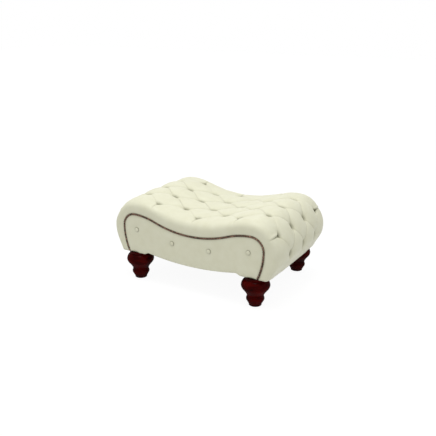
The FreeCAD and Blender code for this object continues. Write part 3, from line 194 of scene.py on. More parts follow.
hardwood = {}
for along in "XY":
    hardwood[along] = wood_material(
        f"sawn_hardwood_{along}", (0.42, 0.26, 0.13), (0.62, 0.43, 0.24), along, rings=70, roughness=0.6)
plywood = wood_material(
    "birch_plywood", (0.52, 0.36, 0.19), (0.68, 0.52, 0.32), "X", rings=45, roughness=0.55)
give("centre_stretcher", hardwood["Y"])
for end in ("left", "right"):
    give(f"{end}_shoulder_rail", hardwood["Y"])
    give(f"{end}_end_rail", hardwood["Y"])
    give(f"{end}_end_board", plywood)
for face in ("front", "back"):
    for part in ("left_corner_block", "right_corner_block", "batten"):
        give(f"{face}_{part}", hardwood["X"])
    for part in ("side_panel", "facing_board"):
        give(f"{face}_{part}", plywood)


# OUTLINE OF THE STOOL: the curve that the facings, the webbing, the foam and the cover all follow,
# hollow in the middle, over a crest and a round shoulder, and slowly inwards down each end.
# Lengths from here on are in millimetres until a piece is made.

half_depth = 265.4
underside = 137.0
shoulder_across, shoulder_up, shoulder_radius = 293.0, 260.0, 60.0
hollow_over_shoulder = 6.5
hollow_radius = 1.809 * shoulder_across
crest_radius = 1.092 * shoulder_across
side_radius = 302.0
side_centre = shoulder_across + shoulder_radius - side_radius
hollow_centre = Vector((0, shoulder_up + hollow_over_shoulder + hollow_radius))
shoulder = Vector((shoulder_across, shoulder_up))


def crest_centre_between(from_hollow, from_shoulder):
    """Centre of a crest, from its distances to the centres of the hollow and the shoulder."""
    between = shoulder - hollow_centre
    span = between.length
    along = (from_hollow ** 2 - from_shoulder ** 2 + span ** 2) / (2 * span)
    aside = math.sqrt(from_hollow ** 2 - along ** 2)
    forward = between / span
    return hollow_centre + forward * along + Vector((forward.y, -forward.x)) * aside


crest_centre = crest_centre_between(hollow_radius + crest_radius, crest_radius - shoulder_radius)
hollow_end = hollow_centre + (crest_centre - hollow_centre).normalized() * hollow_radius
crest_end = crest_centre + (shoulder - crest_centre).normalized() * crest_radius


def edge_top(across):
    """Height of the outline over the seat."""
    if across < hollow_end.x:
        return hollow_centre.y - math.sqrt(hollow_radius ** 2 - across ** 2)
    if across < crest_end.x:
        return crest_centre.y + math.sqrt(crest_radius ** 2 - (across - crest_centre.x) ** 2)
    return shoulder.y + math.sqrt(shoulder_radius ** 2 - (across - shoulder.x) ** 2)


def edge_across(height):
    """Half width of the outline below the shoulders' centres."""
    return side_centre + math.sqrt(side_radius ** 2 - (shoulder_up - height) ** 2)


# The same curve as a line of close points, moved out by a distance, for the nails and inner layers.

def arc_points(centre, radius, first, last, count):
    turned = [first + (last - first) * step / count for step in range(count + 1)]
    return [Vector((centre[0] + radius * math.cos(a), centre[1] + radius * math.sin(a))) for a in turned]


def bearing(centre, point):
    return math.atan2(point[1] - centre[1], point[0] - centre[0])


def with_left_half(right):
    """A curve from the middle of the seat to the right hem, completed to the left hem."""
    return [Vector((-point.x, point.y)) for point in reversed(right[1:])] + right


def whole_outline(out, low, count=24):
    """From the left hem over the seat to the right hem, with a count of steps on each arc."""
    hollow_turn = bearing(hollow_centre, hollow_end)
    crest_first, crest_last = bearing(crest_centre, hollow_end), bearing(crest_centre, crest_end)
    low_turn = math.asin((low - shoulder_up) / (side_radius + out))
    points = arc_points(hollow_centre, hollow_radius - out, -math.pi / 2, hollow_turn, count)
    points += arc_points(crest_centre, crest_radius + out, crest_first, crest_last, count)[1:]
    points += arc_points(shoulder, shoulder_radius + out, crest_last, 0, count)[1:]
    points += arc_points((side_centre, shoulder_up), side_radius + out, 0, low_turn, count)[1:]
    return with_left_half(points)


# WEBBING AND HESSIAN: seven jute straps tacked across the panels' curved top edges, and a sheet of
# hessian stretched over them, which carries the padding.

def new_piece(name, mesh, material, smooth=True):
    """Turns a bmesh in millimetres into a piece of the stool that rides on its one body."""
    bmesh.ops.scale(mesh, vec=(0.001, 0.001, 0.001), verts=mesh.verts)
    bmesh.ops.recalc_face_normals(mesh, faces=mesh.faces)
    data = bpy.data.meshes.new(name)
    mesh.to_mesh(data)
    mesh.free()
    for face in data.polygons:
        face.use_smooth = smooth
    data.materials.append(material)
    piece = bpy.data.objects.new(name, data)
    scene.collection.objects.link(piece)
    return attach(piece, "root")


def add_grid(mesh, rows):
    """Faces between rows of points, each row as long as the next."""
    made = [[mesh.verts.new(point) for point in row] for row in rows]
    for near, far in zip(made[:-1], made[1:]):
        for index in range(len(near) - 1):
            mesh.faces.new((near[index], near[index + 1], far[index + 1], far[index]))
    return made


def join_seams(mesh, gap=0.01):
    """Joins points that lie together, where the parts of a mesh meet."""
    bmesh.ops.remove_doubles(mesh, verts=mesh.verts, dist=gap)


def woven_material(name, dark, light, threads, roughness):
    """Plain weave, with threads along X and Y."""
    material, nodes, links, shader = new_material(name, light, roughness, Sheen_Weight=0.25)
    waves = []
    for direction in ("X", "Y"):
        wave = add_node(nodes, "TexWave", Scale=threads, Distortion=1.2)
        wave.bands_direction = direction
        waves.append(wave)
    lay_on_piece(nodes, links, *waves)
    weave = nodes.new("ShaderNodeMath")
    weave.operation = "MULTIPLY"
    links.new(waves[0].outputs["Fac"], weave.inputs[0])
    links.new(waves[1].outputs["Fac"], weave.inputs[1])
    two_tones(nodes, links, weave.outputs[0], shader.inputs["Base Color"], dark, light, high=0.5)
    add_relief(links, weave.outputs[0], add_node(nodes, "Bump", Strength=0.3, Distance=0.0006), shader)
    return material


facing_build_up = 12.0
panel_face = half_depth - facing_build_up
layers_end = underside + 3
seat_board_turn = math.radians(35)


def add_layer(mesh, points, thickness):
    """A layer of cloth laid along some points of the outline, from panel to panel."""
    count = len(points)
    squares = []
    for index in range(count):
        ahead, behind = points[min(index + 1, count - 1)], points[max(index - 1, 0)]
        along = (ahead - behind).normalized()
        squares.append(Vector((-along.y, along.x)))
    rows = []
    for point, out in zip(points, squares):
        upper = point + out * thickness
        corners = [(point, -panel_face), (upper, -panel_face), (upper, panel_face), (point, panel_face)]
        rows.append([(p.x, depth, p.y) for p, depth in corners + corners[:1]])
    made = add_grid(mesh, rows)
    for row in (made[0], made[-1]):
        mesh.faces.new(row[:4])
    join_seams(mesh, 0.0001)


seat_rows, end_rows = 3, 2
seat_rows_end, end_row_step = shoulder_across + 16.9, 103.3
row_places = [seat_rows_end / seat_rows * row for row in range(seat_rows + 1)]
row_places += [row_places[-1] + end_row_step * row for row in range(1, end_rows + 1)]
last_row = len(row_places) - 1

strap_out, strap_thickness, half_strap, outermost_strap = 12.0, 2.0, 22.0, 303.0
tight_outline = whole_outline(strap_out, layers_end, 160)
straps = bmesh.new()
for row in range(-seat_rows, seat_rows + 1):
    across = math.copysign(min(row_places[abs(row)], outermost_strap), row)
    lying = [p for p in tight_outline if abs(p.x - across) < half_strap and p.y > shoulder_up]
    add_layer(straps, lying, strap_thickness)
jute = woven_material("jute_webbing", (0.19, 0.12, 0.06), (0.46, 0.34, 0.2), threads=320, roughness=0.95)
webbing = new_piece("jute_straps", straps, jute, smooth=False)
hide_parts("webbing_straps")

hessian_out, hessian_thickness = strap_out + strap_thickness, 1.0
hessian_end = shoulder_across + (shoulder_radius + hessian_out) * math.sin(seat_board_turn) - 0.5
hessian_line = whole_outline(hessian_out, layers_end, 60)
hessian_line = [p for p in hessian_line if p.y > shoulder_up + 1 and abs(p.x) < hessian_end]
hessian_mesh = bmesh.new()
add_layer(hessian_mesh, hessian_line, hessian_thickness)
brown_weave = woven_material("hessian", (0.24, 0.16, 0.08), (0.55, 0.43, 0.27), threads=260, roughness=0.95)
hessian = new_piece("hessian_over_straps", hessian_mesh, brown_weave, smooth=False)
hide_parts("hessian_sheet")


# FOAM PAD: one thick pad of foam bent over the deck and down both ends, with holes punched for the
# button twines. It is softened along its sides and pressed in under each button.

foam_in_hollow, foam_at_side, foam_side_radius = 57.0, 46.0, 240.0
foam_inside_out = 15.3
foam_half = panel_face - 28.3
foam_sides = [(0.0, 0.72), (1.2, 0.84), (4.2, 0.94)]
foam_full = foam_half - 9
foam_cuts = 72
press_depth, press_width = 16.0, 18
seat_padding = 62.5
turn_radius = shoulder_radius + seat_padding
outer_button_in = 66.95
button_pitch = (half_depth - outer_button_in) / 1.5


def padding_line(count=24):
    """The foam's outer curve, fuller in the hollow than at the shoulders."""
    hollow, crest = hollow_radius - foam_in_hollow, crest_radius + foam_at_side
    round_end = shoulder_radius + foam_at_side
    centre = crest_centre_between(hollow + crest, crest - round_end)
    start = hollow_centre + (centre - hollow_centre).normalized() * hollow
    finish = centre + (shoulder - centre).normalized() * crest
    middle = shoulder_across + round_end - foam_side_radius
    low_turn = math.asin((layers_end - shoulder_up) / foam_side_radius)
    points = arc_points(hollow_centre, hollow, -math.pi / 2, bearing(hollow_centre, start), count)
    points += arc_points(centre, crest, bearing(centre, start), bearing(centre, finish), count)[1:]
    points += arc_points(shoulder, round_end, bearing(centre, finish), 0, count)[1:]
    points += arc_points((middle, shoulder_up), foam_side_radius, 0, low_turn, count)[1:]
    return with_left_half(points)


def in_line(count, gap):
    """Places of a count of like things with a gap between them, about the middle."""
    return [gap * (index - (count - 1) / 2) for index in range(count)]


def button_columns(row):
    """Where the buttons of a row sit across the seat: four in even rows, three in odd ones."""
    return in_line(4 if row % 2 == 0 else 3, button_pitch)


def pressed_in(point, depth):
    """How far the foam is pressed in by the nearest button."""
    across, height = abs(point.x), point.y - shoulder_up
    if height < 0:
        place = shoulder_across + turn_radius * math.pi / 2 - height
    elif across > shoulder_across:
        place = shoulder_across + turn_radius * math.atan2(across - shoulder_across, height)
    else:
        place = across
    apart = []
    for row, row_place in enumerate(row_places):
        apart += [math.hypot(place - row_place, depth - column) for column in button_columns(row)]
    return press_depth * math.exp(-((min(apart) / press_width) ** 1.4))


foam_depths = [(inward - foam_half, share) for inward, share in foam_sides]
foam_depths += [(foam_full * (2 * i / foam_cuts - 1), 1.0) for i in range(foam_cuts + 1)]
foam_depths += [(foam_half - inward, share) for inward, share in reversed(foam_sides)]
foam_mesh = bmesh.new()
sections = []
for outer, inner in zip(padding_line(), whole_outline(foam_inside_out, layers_end)):
    out = outer - inner
    ring = [(inner, -foam_half)]
    for depth, share in foam_depths:
        ring.append((inner + out * share - out.normalized() * pressed_in(outer, depth), depth))
    ring.append((inner, foam_half))
    sections.append([(point.x, depth, point.y) for point, depth in ring + ring[:1]])
made = add_grid(foam_mesh, sections)
for ring in (made[0], made[-1]):
    foam_mesh.faces.new(ring[:-1])
join_seams(foam_mesh, 0.0001)
foam_material, nodes, links, shader = new_material("cut_foam", (0.75, 0.68, 0.45), 0.95)
bubbles = add_node(nodes, "TexVoronoi", Scale=900)
add_relief(links, bubbles.outputs[0], add_node(nodes, "Bump", Strength=0.3, Distance=0.0005), shader)
foam = new_piece("foam_under_cover", foam_mesh, foam_material)
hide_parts("foam_pad")


# DEEP-BUTTONED COVER: cream hide laid over the foam and wadding and drawn down at thirty-eight
# buttons. The spare hide between the buttons is folded into slanting pleats, which leaves plump
# diamonds; straight pleats carry it over the rolled edges to the nails and down to the hem.

padding_at_rows = [seat_padding, seat_padding, 58.0, 58.0, 50.5, 62.0]
padding_at_hem = 46.0
crown_on_seat, crown_at_hem = 14.0, 6.0
band_on_seat, band_at_hem = 24.0, 33.0
turn_end = shoulder_across + turn_radius * math.pi / 2
hem_place = turn_end + shoulder_up - underside

between_pleats = 111.4
pleat_share, pleat_depth, pleat_width = 0.60, 1.7, 2.6
pleat_reach, pleat_midway, weaker_pleats = 30, 0.35, 0.55
well_depth, well_width, well_floor, well_flare = 22.0, 15.5, 13.0, 1.2
pillow_fullness = 0.62
pleat_swing, weaker_swing = 4.0, 2.0
swing_along, swing_across = 0.54, 0.84
opened_below, pleat_ends_below = 60, 45


def eased(share):
    """A share from 0 to 1 that starts and ends gently."""
    share = min(max(share, 0.0), 1.0)
    return (1 - math.cos(math.pi * share)) / 2


cuts, even_share = 26, 0.12
steps = []
for cut in range(cuts + 1):
    gentle = (1 - math.cos(math.pi * cut / cuts)) / 2
    steps.append(even_share * cut / cuts + (1 - even_share) * gentle)


def place_of(row):
    """Distance along the seat's curve of a row of buttons, or of a share of the way to the next."""
    whole = min(int(abs(row)), last_row - 1)
    place = row_places[whole] + (row_places[whole + 1] - row_places[whole]) * (abs(row) - whole)
    return math.copysign(place, row)


def padding_under(place):
    """Depth of the padding under the buttons, eased from row to row and down to the hem."""
    reach = abs(place)
    places, depths = row_places + [hem_place], padding_at_rows + [padding_at_hem]
    for row in range(len(places) - 1):
        if reach <= places[row + 1]:
            share = (reach - places[row]) / (places[row + 1] - places[row])
            return depths[row] + (depths[row + 1] - depths[row]) * eased(share)
    return depths[-1]


def crown_over(place):
    """How high a pillow stands: the same all over the seat and the ends, less down to the hem."""
    to_hem = (abs(place) - row_places[-1]) / (hem_place - row_places[-1])
    return crown_on_seat + (crown_at_hem - crown_on_seat) * eased(to_hem)


def band_beside(place):
    """Height of the flat band between the nails and the rolled edge."""
    to_hem = (abs(place) - shoulder_across) / (hem_place - shoulder_across)
    return band_on_seat + (band_at_hem - band_on_seat) * eased(to_hem)


def on_seat(place, depth, beyond):
    """A point of the cover: how far along the seat, how deep across it, how far beyond the outline."""
    reach = abs(place)
    if reach <= shoulder_across:
        point = Vector((reach, edge_top(reach) + beyond))
    elif reach <= turn_end:
        angle = (reach - shoulder_across) / turn_radius
        point = shoulder + Vector((math.sin(angle), math.cos(angle))) * (shoulder_radius + beyond)
    else:
        height = max(shoulder_up - (reach - turn_end), underside)
        point = Vector((edge_across(height) + beyond, height))
    return Vector((math.copysign(point.x, place), depth, point.y))


def to_button(row, depth):
    """Distance to the nearest deep button."""
    apart = []
    for whole in (math.floor(row), math.floor(row) + 1):
        if abs(whole) <= last_row:
            along = place_of(row) - place_of(whole)
            apart += [math.hypot(along, depth - column) for column in button_columns(whole)]
    return min(apart)


def pillow_level(a, b):
    """Share of the crown: all of it in the middle of a diamond, less along its four pleats."""
    u, v = max(math.sin(math.pi * a), 0.0), max(math.sin(math.pi * b), 0.0)
    return pleat_share + (1 - pleat_share) * (u * v) ** pillow_fullness


def pleat_at(near):
    """Depth of a slanting pleat, deepest where it runs into a button."""
    at_button = math.exp(-near / pleat_reach)
    return pleat_depth * (pleat_midway + (1 - pleat_midway) * at_button)


def drawn_down(level, near):
    """The hide's level once the nearest button has drawn it down into a well."""
    return max(level - well_depth * math.exp(-((near / well_width) ** well_flare)), -well_floor)


def cover_rise(row, depth, a, b):
    """How far the hide stands over the level of the buttons, at a place across a diamond."""
    near = to_button(row, depth)
    level = crown_over(place_of(row)) * pillow_level(a, b)
    for share, weight in ((a, 1.0), (b, weaker_pleats)):
        beside = min(share, 1 - share) * between_pleats
        level -= weight * pleat_at(near) * math.exp(-beside / pleat_width)
    return drawn_down(level, near)


def below_rise(place, across, a, b):
    """The same under the lowest buttons, where a short straight pleat leaves each of them."""
    below = place - row_places[-1]
    near = min(math.hypot(below, across - column) for column in button_columns(last_row))
    beside = min(a, 1 - b) * button_pitch
    opened = eased(below / opened_below)
    level = crown_over(place) * (pillow_level(a, b) * (1 - opened) + opened)
    firm = pleat_at(near) * (1 - eased(below / pleat_ends_below))
    level -= 2 * firm * math.exp(-min(beside, button_pitch - beside) / pleat_width)
    return drawn_down(level, near)


def pleat_bend(row, depth):
    """Sideways swing of the slanting pleats between their buttons, along and across the stool."""
    one = -pleat_swing * math.sin(math.pi * (row - 2 * depth / button_pitch))
    other = -weaker_swing * math.sin(math.pi * (row + 2 * depth / button_pitch))
    return Vector((swing_along * (one + other), swing_across * (one - other)))


def seat_point(row, depth, a, b):
    """A point of the pillows, by its row, its depth and its place across its diamond."""
    bend = pleat_bend(row, depth)
    place = place_of(row) + bend.x
    return on_seat(place, depth + bend.y, padding_under(place) + cover_rise(row, depth, a, b))


cover = bmesh.new()


def add_diamond(row, centre):
    """A pillow between four buttons."""
    rows = []
    for a in steps:
        rows.append([seat_point(row - 1 + a + b, centre + (a - b) * button_pitch / 2, a, b) for b in steps])
    add_grid(cover, rows)


def runs_to_hem(count=14):
    """Shares of the way from the lowest buttons down to the hem, closer at the buttons, and places."""
    ways = [(run / count) ** 1.4 for run in range(1, count + 1)]
    return [(way, row_places[-1] + (hem_place - row_places[-1]) * way) for way in ways]


def turn_hem(edge, end):
    """The hide turned in under the padding and up to the rail, where it is stapled."""
    inner_across, inner_depth, hem_height = 347.0, 256.5, underside + 0.9
    rows = [edge]
    for inward, height in ((0.25, -0.8), (0.97, -0.4), (1.0, 1.6)):
        row = []
        for point in edge:
            goal_across = end * min(inner_across, abs(point.x) - 1.5)
            goal_depth = max(min(point.y, inner_depth), -inner_depth)
            there = Vector((point.x, point.y)).lerp(Vector((goal_across, goal_depth)), inward)
            row.append((there.x, there.y, hem_height + height))
        rows.append(row)
    add_grid(cover, rows)


def add_lower_pillow(end, centre):
    """Half a diamond down to the lowest buttons, then a straight-sided pillow down to the hem."""
    made = []
    for i, a in enumerate(steps):
        line = []
        for b in steps[:cuts + 1 - i]:
            row = (last_row - 1 + a + b) * end
            depth = centre + (a - b) * button_pitch / 2
            pair = (a, b) if end > 0 else (b, a)
            line.append(cover.verts.new(seat_point(row, depth, *pair)))
        made.append(line)
    for i in range(cuts):
        for j in range(cuts - i):
            corners = [made[i][j], made[i + 1][j]]
            if j < len(made[i + 1]) - 1:
                corners.append(made[i + 1][j + 1])
            corners.append(made[i][j + 1])
            cover.faces.new(corners)
    level = [made[i][cuts - i] for i in range(cuts + 1)]
    for way, place in runs_to_hem():
        line = []
        for i, a in enumerate(steps):
            b = steps[cuts - i]
            across = centre + (a - b) * button_pitch / 2
            bend = pleat_bend(last_row * end, across) * max(0.0, 1 - 2 * way)
            beyond = padding_under(place) + below_rise(place, across, a, b)
            line.append(cover.verts.new(on_seat(place * end + bend.x, across + bend.y, beyond)))
        for i in range(cuts):
            cover.faces.new((level[i], level[i + 1], line[i + 1], line[i]))
        level = line
    turn_hem([vertex.co for vertex in level], end)


rise_runs, roll_runs, pleat_runs = 11, 16, 30
roll_up, roll_up_in_middle, roll_in, roll_roundness = 0.24, 0.36, 0.17, 0.72
shallow_crease, deep_crease, crease_width = 5.0, 6.0, 3.5
lip_height, lip_beside, lip_width = 5.0, 7.5, 5.0


def border_section(place, share, first):
    """From a pleat over the rolled edge and down to the flat band at the nails: depth and height.
    The share is 0 beside a button of a three-button row and 1 at a straight pleat."""
    base = padding_under(place)
    inner = -button_pitch * (1 + share / 2)
    middle = math.cos(math.pi * share / 2)
    top = base + crown_over(place) * (roll_up + roll_up_in_middle * middle)
    top_at = inner - button_pitch * (roll_in + roll_in * middle)
    low = band_beside(place)
    start = base + first
    shape = [Vector((inner, start))]
    for i in range(1, rise_runs + 1):
        way = (i / rise_runs) ** 1.5
        rise = math.sin(math.pi / 2 * way) ** (0.6 + 0.45 * share)
        shape.append(Vector((inner + (top_at - inner) * way, start + (top - start) * rise)))
    for i in range(1, roll_runs + 1):
        angle = math.pi / 2 * i / roll_runs
        out = (half_depth + top_at) * math.sin(angle) ** roll_roundness
        shape.append(Vector((top_at - out, low + (top - low) * math.cos(angle) ** roll_roundness)))
    shape += [Vector((-half_depth, low * left)) for left in (0.66, 0.33, 0.0)]
    shape += [Vector((-half_depth + tucked, -0.4)) for tucked in (3, 6)]
    return shape


def border_line(place, share, first, side, bend, sink=0.0):
    """One line of the border, sunk by its straight pleat, fading out towards the band."""
    line = []
    for index, point in enumerate(border_section(place, share, first)):
        swing = bend * max(0.0, 1 - index / rise_runs)
        sunk = sink * (1 - index / pleat_runs) ** 0.9 if 0 < index < pleat_runs else 0.0
        line.append(on_seat(place + swing.x, point.x * side + swing.y, point.y - sunk))
    return line


def crease_beside(gap, deep, lip):
    """A straight pleat beside a button, deeper by the shoulders, where a lip of hide folds over it."""
    sink = (deep_crease if deep else shallow_crease) * math.exp(-gap / crease_width)
    if lip:
        sink -= lip_height * math.exp(-((gap - lip_beside) / lip_width) ** 2)
    return sink


def border_from(here, share, side, slant, sink):
    """A line of the border that starts on the outermost slanting pleat, which slants either way."""
    depth = -button_pitch * (1 + share / 2) * side
    pair = (0, share) if slant > 0 else (share, 0)
    first = cover_rise(here, depth, *pair)
    return border_line(place_of(here), share, first, side, pleat_bend(here, depth), sink)


def add_border(row, side):
    """The border between two straight pleats, outside the zigzag of the outermost slanting pleats."""
    rows = []
    for half in (-1, 1):
        deep = abs(row + half) == last_row - 1
        shares = [1 - s for s in steps] if half < 0 else steps[1:]
        for share in shares:
            here = row + share * half
            gap = abs(place_of(here) - place_of(row + half))
            rows.append(border_from(here, share, side, half * side, crease_beside(gap, deep, lip=deep)))
    add_grid(cover, rows)


def add_corner(end, side):
    """The border from the last straight pleat over the shoulder, down to the hem."""
    rows = []
    for share in [1 - s for s in steps]:
        here = (last_row - share) * end
        gap = abs(place_of(here)) - row_places[last_row - 1]
        rows.append(border_from(here, share, side, -end * side, crease_beside(gap, deep=True, lip=False)))
    for way, place in runs_to_hem():
        bend = pleat_bend(last_row * end, -button_pitch * side) * max(0.0, 1 - 2 * way)
        rows.append(border_line(place * end, 0.0, below_rise(place, -button_pitch, 0, 1), side, bend))
    add_grid(cover, rows)
    turn_hem(rows[-1], end)


for row in range(1 - last_row, last_row):
    for centre in in_line(3 if row % 2 == 0 else 2, button_pitch):
        add_diamond(row, centre)
    if row % 2 != 0:
        for side in (-1, 1):
            add_border(row, side)
for end in (-1, 1):
    for centre in in_line(2, button_pitch):
        add_lower_pillow(end, centre)
    for side in (-1, 1):
        add_corner(end, side)
join_seams(cover, 0.6)

# The hide has fine pores and soft wrinkles, and shade is painted darker into its hollows, where ambient
# occlusion finds them.

hide, nodes, links, shader = new_material("cream_hide", (0.80, 0.795, 0.61), 0.46, Specular_IOR_Level=0.32)
pores = add_node(nodes, "TexVoronoi", Scale=620)
folds = add_node(nodes, "TexNoise", Scale=26, Detail=5)
lay_on_piece(nodes, links, pores, folds)
wrinkle_bump = add_node(nodes, "Bump", Strength=0.12, Distance=0.002)
pore_bump = add_node(nodes, "Bump", Strength=0.10, Distance=0.0004)
add_relief(links, folds.outputs[0], wrinkle_bump, shader)
add_relief(links, pores.outputs["Distance"], pore_bump, wrinkle_bump)
# Painted shade: where ambient occlusion finds the hide closed in, in the button wells and creases, a dark
# tone is mixed into its colour.
hollows = add_node(nodes, "AmbientOcclusion", Distance=0.03)
hollows.samples = 12
open_part = add_node(nodes, "MapRange", From_Min=0.36, From_Max=0.97)
shaded_in_hollows = nodes.new("ShaderNodeMix")
shaded_in_hollows.data_type = "RGBA"
shaded_in_hollows.inputs["A"].default_value = (0.13, 0.125, 0.06, 1)
links.new(hollows.outputs["AO"], open_part.inputs["Value"])
links.new(open_part.outputs["Result"], shaded_in_hollows.inputs["Factor"])
unshaded_tones = (0.765, 0.755, 0.565), (0.82, 0.815, 0.635)
two_tones(nodes, links, folds.outputs[0], shaded_in_hollows.inputs["B"], *unshaded_tones, 0.25, 0.75)
links.new(shaded_in_hollows.outputs["Result"], shader.inputs["Base Color"])
cover_piece = new_piece("tufted_cover", cover, hide)
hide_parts("leather_cover")


# DEEP BUTTONS: thirty-eight small domed buttons covered in the same hide, each tied down by a
# waxed twine through the foam and the deck to a leather tab under it.

deep_button_radius, deep_button_height, deep_button_below = 8.6, 6.5, 0.5


def add_turned(mesh, profile, sides, centre, direction):
    """A round piece turned about an axis through a centre; the profile is radius and height."""
    turn = direction.to_track_quat("Z", "Y")
    rings = []
    for radius, height in profile:
        ring = []
        for index in range(sides):
            angle = 2 * math.pi * index / sides
            ring.append(centre + turn @ Vector((radius * math.cos(angle), radius * math.sin(angle), height)))
        rings.append(ring + ring[:1])
    add_grid(mesh, rings)


def square_off(row, depth):
    """Which way a deep button faces: square to the padding at its place."""
    place = place_of(row)
    ahead = on_seat(place + 4, depth, padding_under(place + 4))
    behind = on_seat(place - 4, depth, padding_under(place - 4))
    along = (ahead - behind).normalized()
    return Vector((-along.z, 0, along.x))


def domed(radius, height, runs=5):
    """Profile of a covered button: tucked in below, rounded over the top."""
    profile = [(radius * 0.55, 0.0), (radius * 0.9, height * 0.12)]
    for index in range(runs + 1):
        angle = math.pi / 2 * index / runs
        profile.append((radius * math.cos(angle), height * (0.38 + 0.62 * math.sin(angle))))
    return profile


buttons = bmesh.new()
for row in range(-last_row, last_row + 1):
    place = place_of(row)
    for depth in button_columns(row):
        centre = on_seat(place, depth, padding_under(place) - well_floor - deep_button_below)
        dome = domed(deep_button_radius, deep_button_height)
        add_turned(buttons, dome, 20, centre, square_off(row, depth))
join_seams(buttons)
deep = new_piece("covered_deep_buttons", buttons, hide)
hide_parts("deep_buttons")


# FACINGS: one smooth panel of hide on each long side, drawn over a thin pad on its board, turned
# in under the panel and pinned by four covered buttons. Its lower edge is a bowed apron.

seam_gap, rows_up = 0.3, 26
widest = shoulder_across + shoulder_radius - seam_gap
step_outer, step_inner = shoulder_across - 43.3, shoulder_across - 71.0
step_rise, apron_low = 8.5, underside - 10.8
step_run = step_outer - step_inner
step_radius = (step_run ** 2 + step_rise ** 2) / (4 * step_rise)
bow_drop = underside + step_rise - apron_low
bow_radius = (step_inner ** 2 + bow_drop ** 2) / (2 * bow_drop)
hide_inside, hide_outside = half_depth - 1.4, half_depth - 0.8
turned_in_to = 236.5
swell_height, swell_by = 2.8, 14
pinned_depth, pinned_by = 2.1, 11
facing_button_radius, facing_button_height, facing_button_in = 10.0, 6.2, 1.2
outer_button_across = shoulder_across - 9.8
facing_buttons = []
for end in (-1, 1):
    facing_buttons.append(Vector((end * outer_button_across, shoulder_up - 11.2)))
    facing_buttons.append(Vector((end * 0.3312 * outer_button_across, shoulder_up - 42.7)))


def lower_edge(across):
    """Height of the facing's lower edge: straight by the feet, a small step, then the bow."""
    reach = abs(across)
    if reach >= step_outer:
        return underside
    if reach >= step_outer - step_run / 2:
        return underside + step_radius - math.sqrt(step_radius ** 2 - (step_outer - reach) ** 2)
    if reach >= step_inner:
        return underside + step_rise - step_radius + math.sqrt(step_radius ** 2 - (reach - step_inner) ** 2)
    return apron_low + bow_radius - math.sqrt(bow_radius ** 2 - reach ** 2)


def upper_edge(across):
    """Height of the seam over the facing; at its widest, where the shoulder's round begins."""
    reach = abs(across)
    if reach > widest - 0.1:
        return shoulder_up
    return edge_top(reach)


def facing_swell(across, height):
    """How far the padded hide stands out: full in the middle, sunk at the edges and the buttons."""
    point = Vector((abs(across), height))
    from_edges = [upper_edge(across) - height, height - lower_edge(across)]
    if height <= shoulder_up:
        from_edges.append(edge_across(height) - point.x)
    elif point.x > shoulder_across:
        from_edges.append(shoulder_radius - (point - shoulder).length)
    swell = swell_height * (1 - math.exp(-max(min(from_edges), 0.0) / swell_by))
    for button in facing_buttons:
        apart = (point - Vector((abs(button.x), button.y))).length
        swell -= pinned_depth * math.exp(-apart / pinned_by)
    return swell


def facing_columns():
    """Where the facing is cut into columns, closer at the steps and the round shoulders."""
    right = [step_inner * i / 30 for i in range(30)]
    right += [step_inner + step_run * i / 6 for i in range(6)]
    right += [step_outer + (shoulder_across - step_outer) * i / 6 for i in range(6)]
    round_end = widest - shoulder_across
    right += [shoulder_across + round_end * math.sin(math.pi / 2 * i / 14) for i in range(15)]
    return [-across for across in reversed(right[1:])] + right


def add_facing(mesh, side):
    """The hide from under the panel, round its lower edge and up to the seam."""
    rows = []
    for across in facing_columns():
        top, low = upper_edge(across) - seam_gap, lower_edge(across)
        face = []
        for index in range(1, rows_up + 1):
            height = low + (top - low) * (index / rows_up)
            reach = across
            if height < shoulder_up:
                limit = edge_across(height) - seam_gap
                beyond = max(abs(across) - step_outer, 0) / (widest - step_outer)
                reach = math.copysign(abs(across) + (limit - widest) * beyond, across)
            face.append((reach, -(hide_outside + facing_swell(reach, height)) * side, height))
        turned = [(low + 1.5, turned_in_to - 1), (low + 0.1, turned_in_to)]
        turned += [(low - 1.2, hide_inside - 2.2), (low - 0.2, hide_outside)]
        line = [(face[0][0], -depth * side, height) for height, depth in turned] + face
        line.append((face[-1][0], -(hide_inside - 8) * side, top))
        rows.append(line)
    add_grid(mesh, rows)


for side, name in ((1, "front"), (-1, "back")):
    mesh = bmesh.new()
    add_facing(mesh, side)
    piece = new_piece(f"{name}_facing", mesh, hide)
    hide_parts(f"{name}_facing_leather", f"{name}_facing_pad")
    mesh = bmesh.new()
    for button in facing_buttons:
        centre = Vector((button.x, -(half_depth - facing_button_in) * side, button.y))
        dome = domed(facing_button_radius, facing_button_height)
        add_turned(mesh, dome, 28, centre, Vector((0, -side, 0)))
    join_seams(mesh)
    covered = new_piece(f"{name}_covered_buttons", mesh, hide)
    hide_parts(f"{name}_facing_buttons")


# NAIL TRIM: close-set domed nails of antique brass, a hundred on each long side, driven along the
# seam between facing and cover. Each is turned and toned a little differently.

nail_count, nails_end, nail_out, nail_lean = 100, underside + 5, 0.3, 0.06
nail_profile = [(4.8, 0.0), (4.8, 0.8), (4.3, 1.9), (3.0, 2.9), (1.5, 3.4), (0.0, 3.6)]


def spaced(points, count):
    """The same line as a number of points at equal steps along it."""
    lengths = [0.0]
    for near, far in zip(points[:-1], points[1:]):
        lengths.append(lengths[-1] + (far - near).length)
    found, index = [], 0
    for step in range(count):
        goal = lengths[-1] * step / (count - 1)
        while index < len(points) - 2 and lengths[index + 1] < goal:
            index += 1
        way = (goal - lengths[index]) / (lengths[index + 1] - lengths[index])
        found.append(points[index].lerp(points[index + 1], way))
    return found


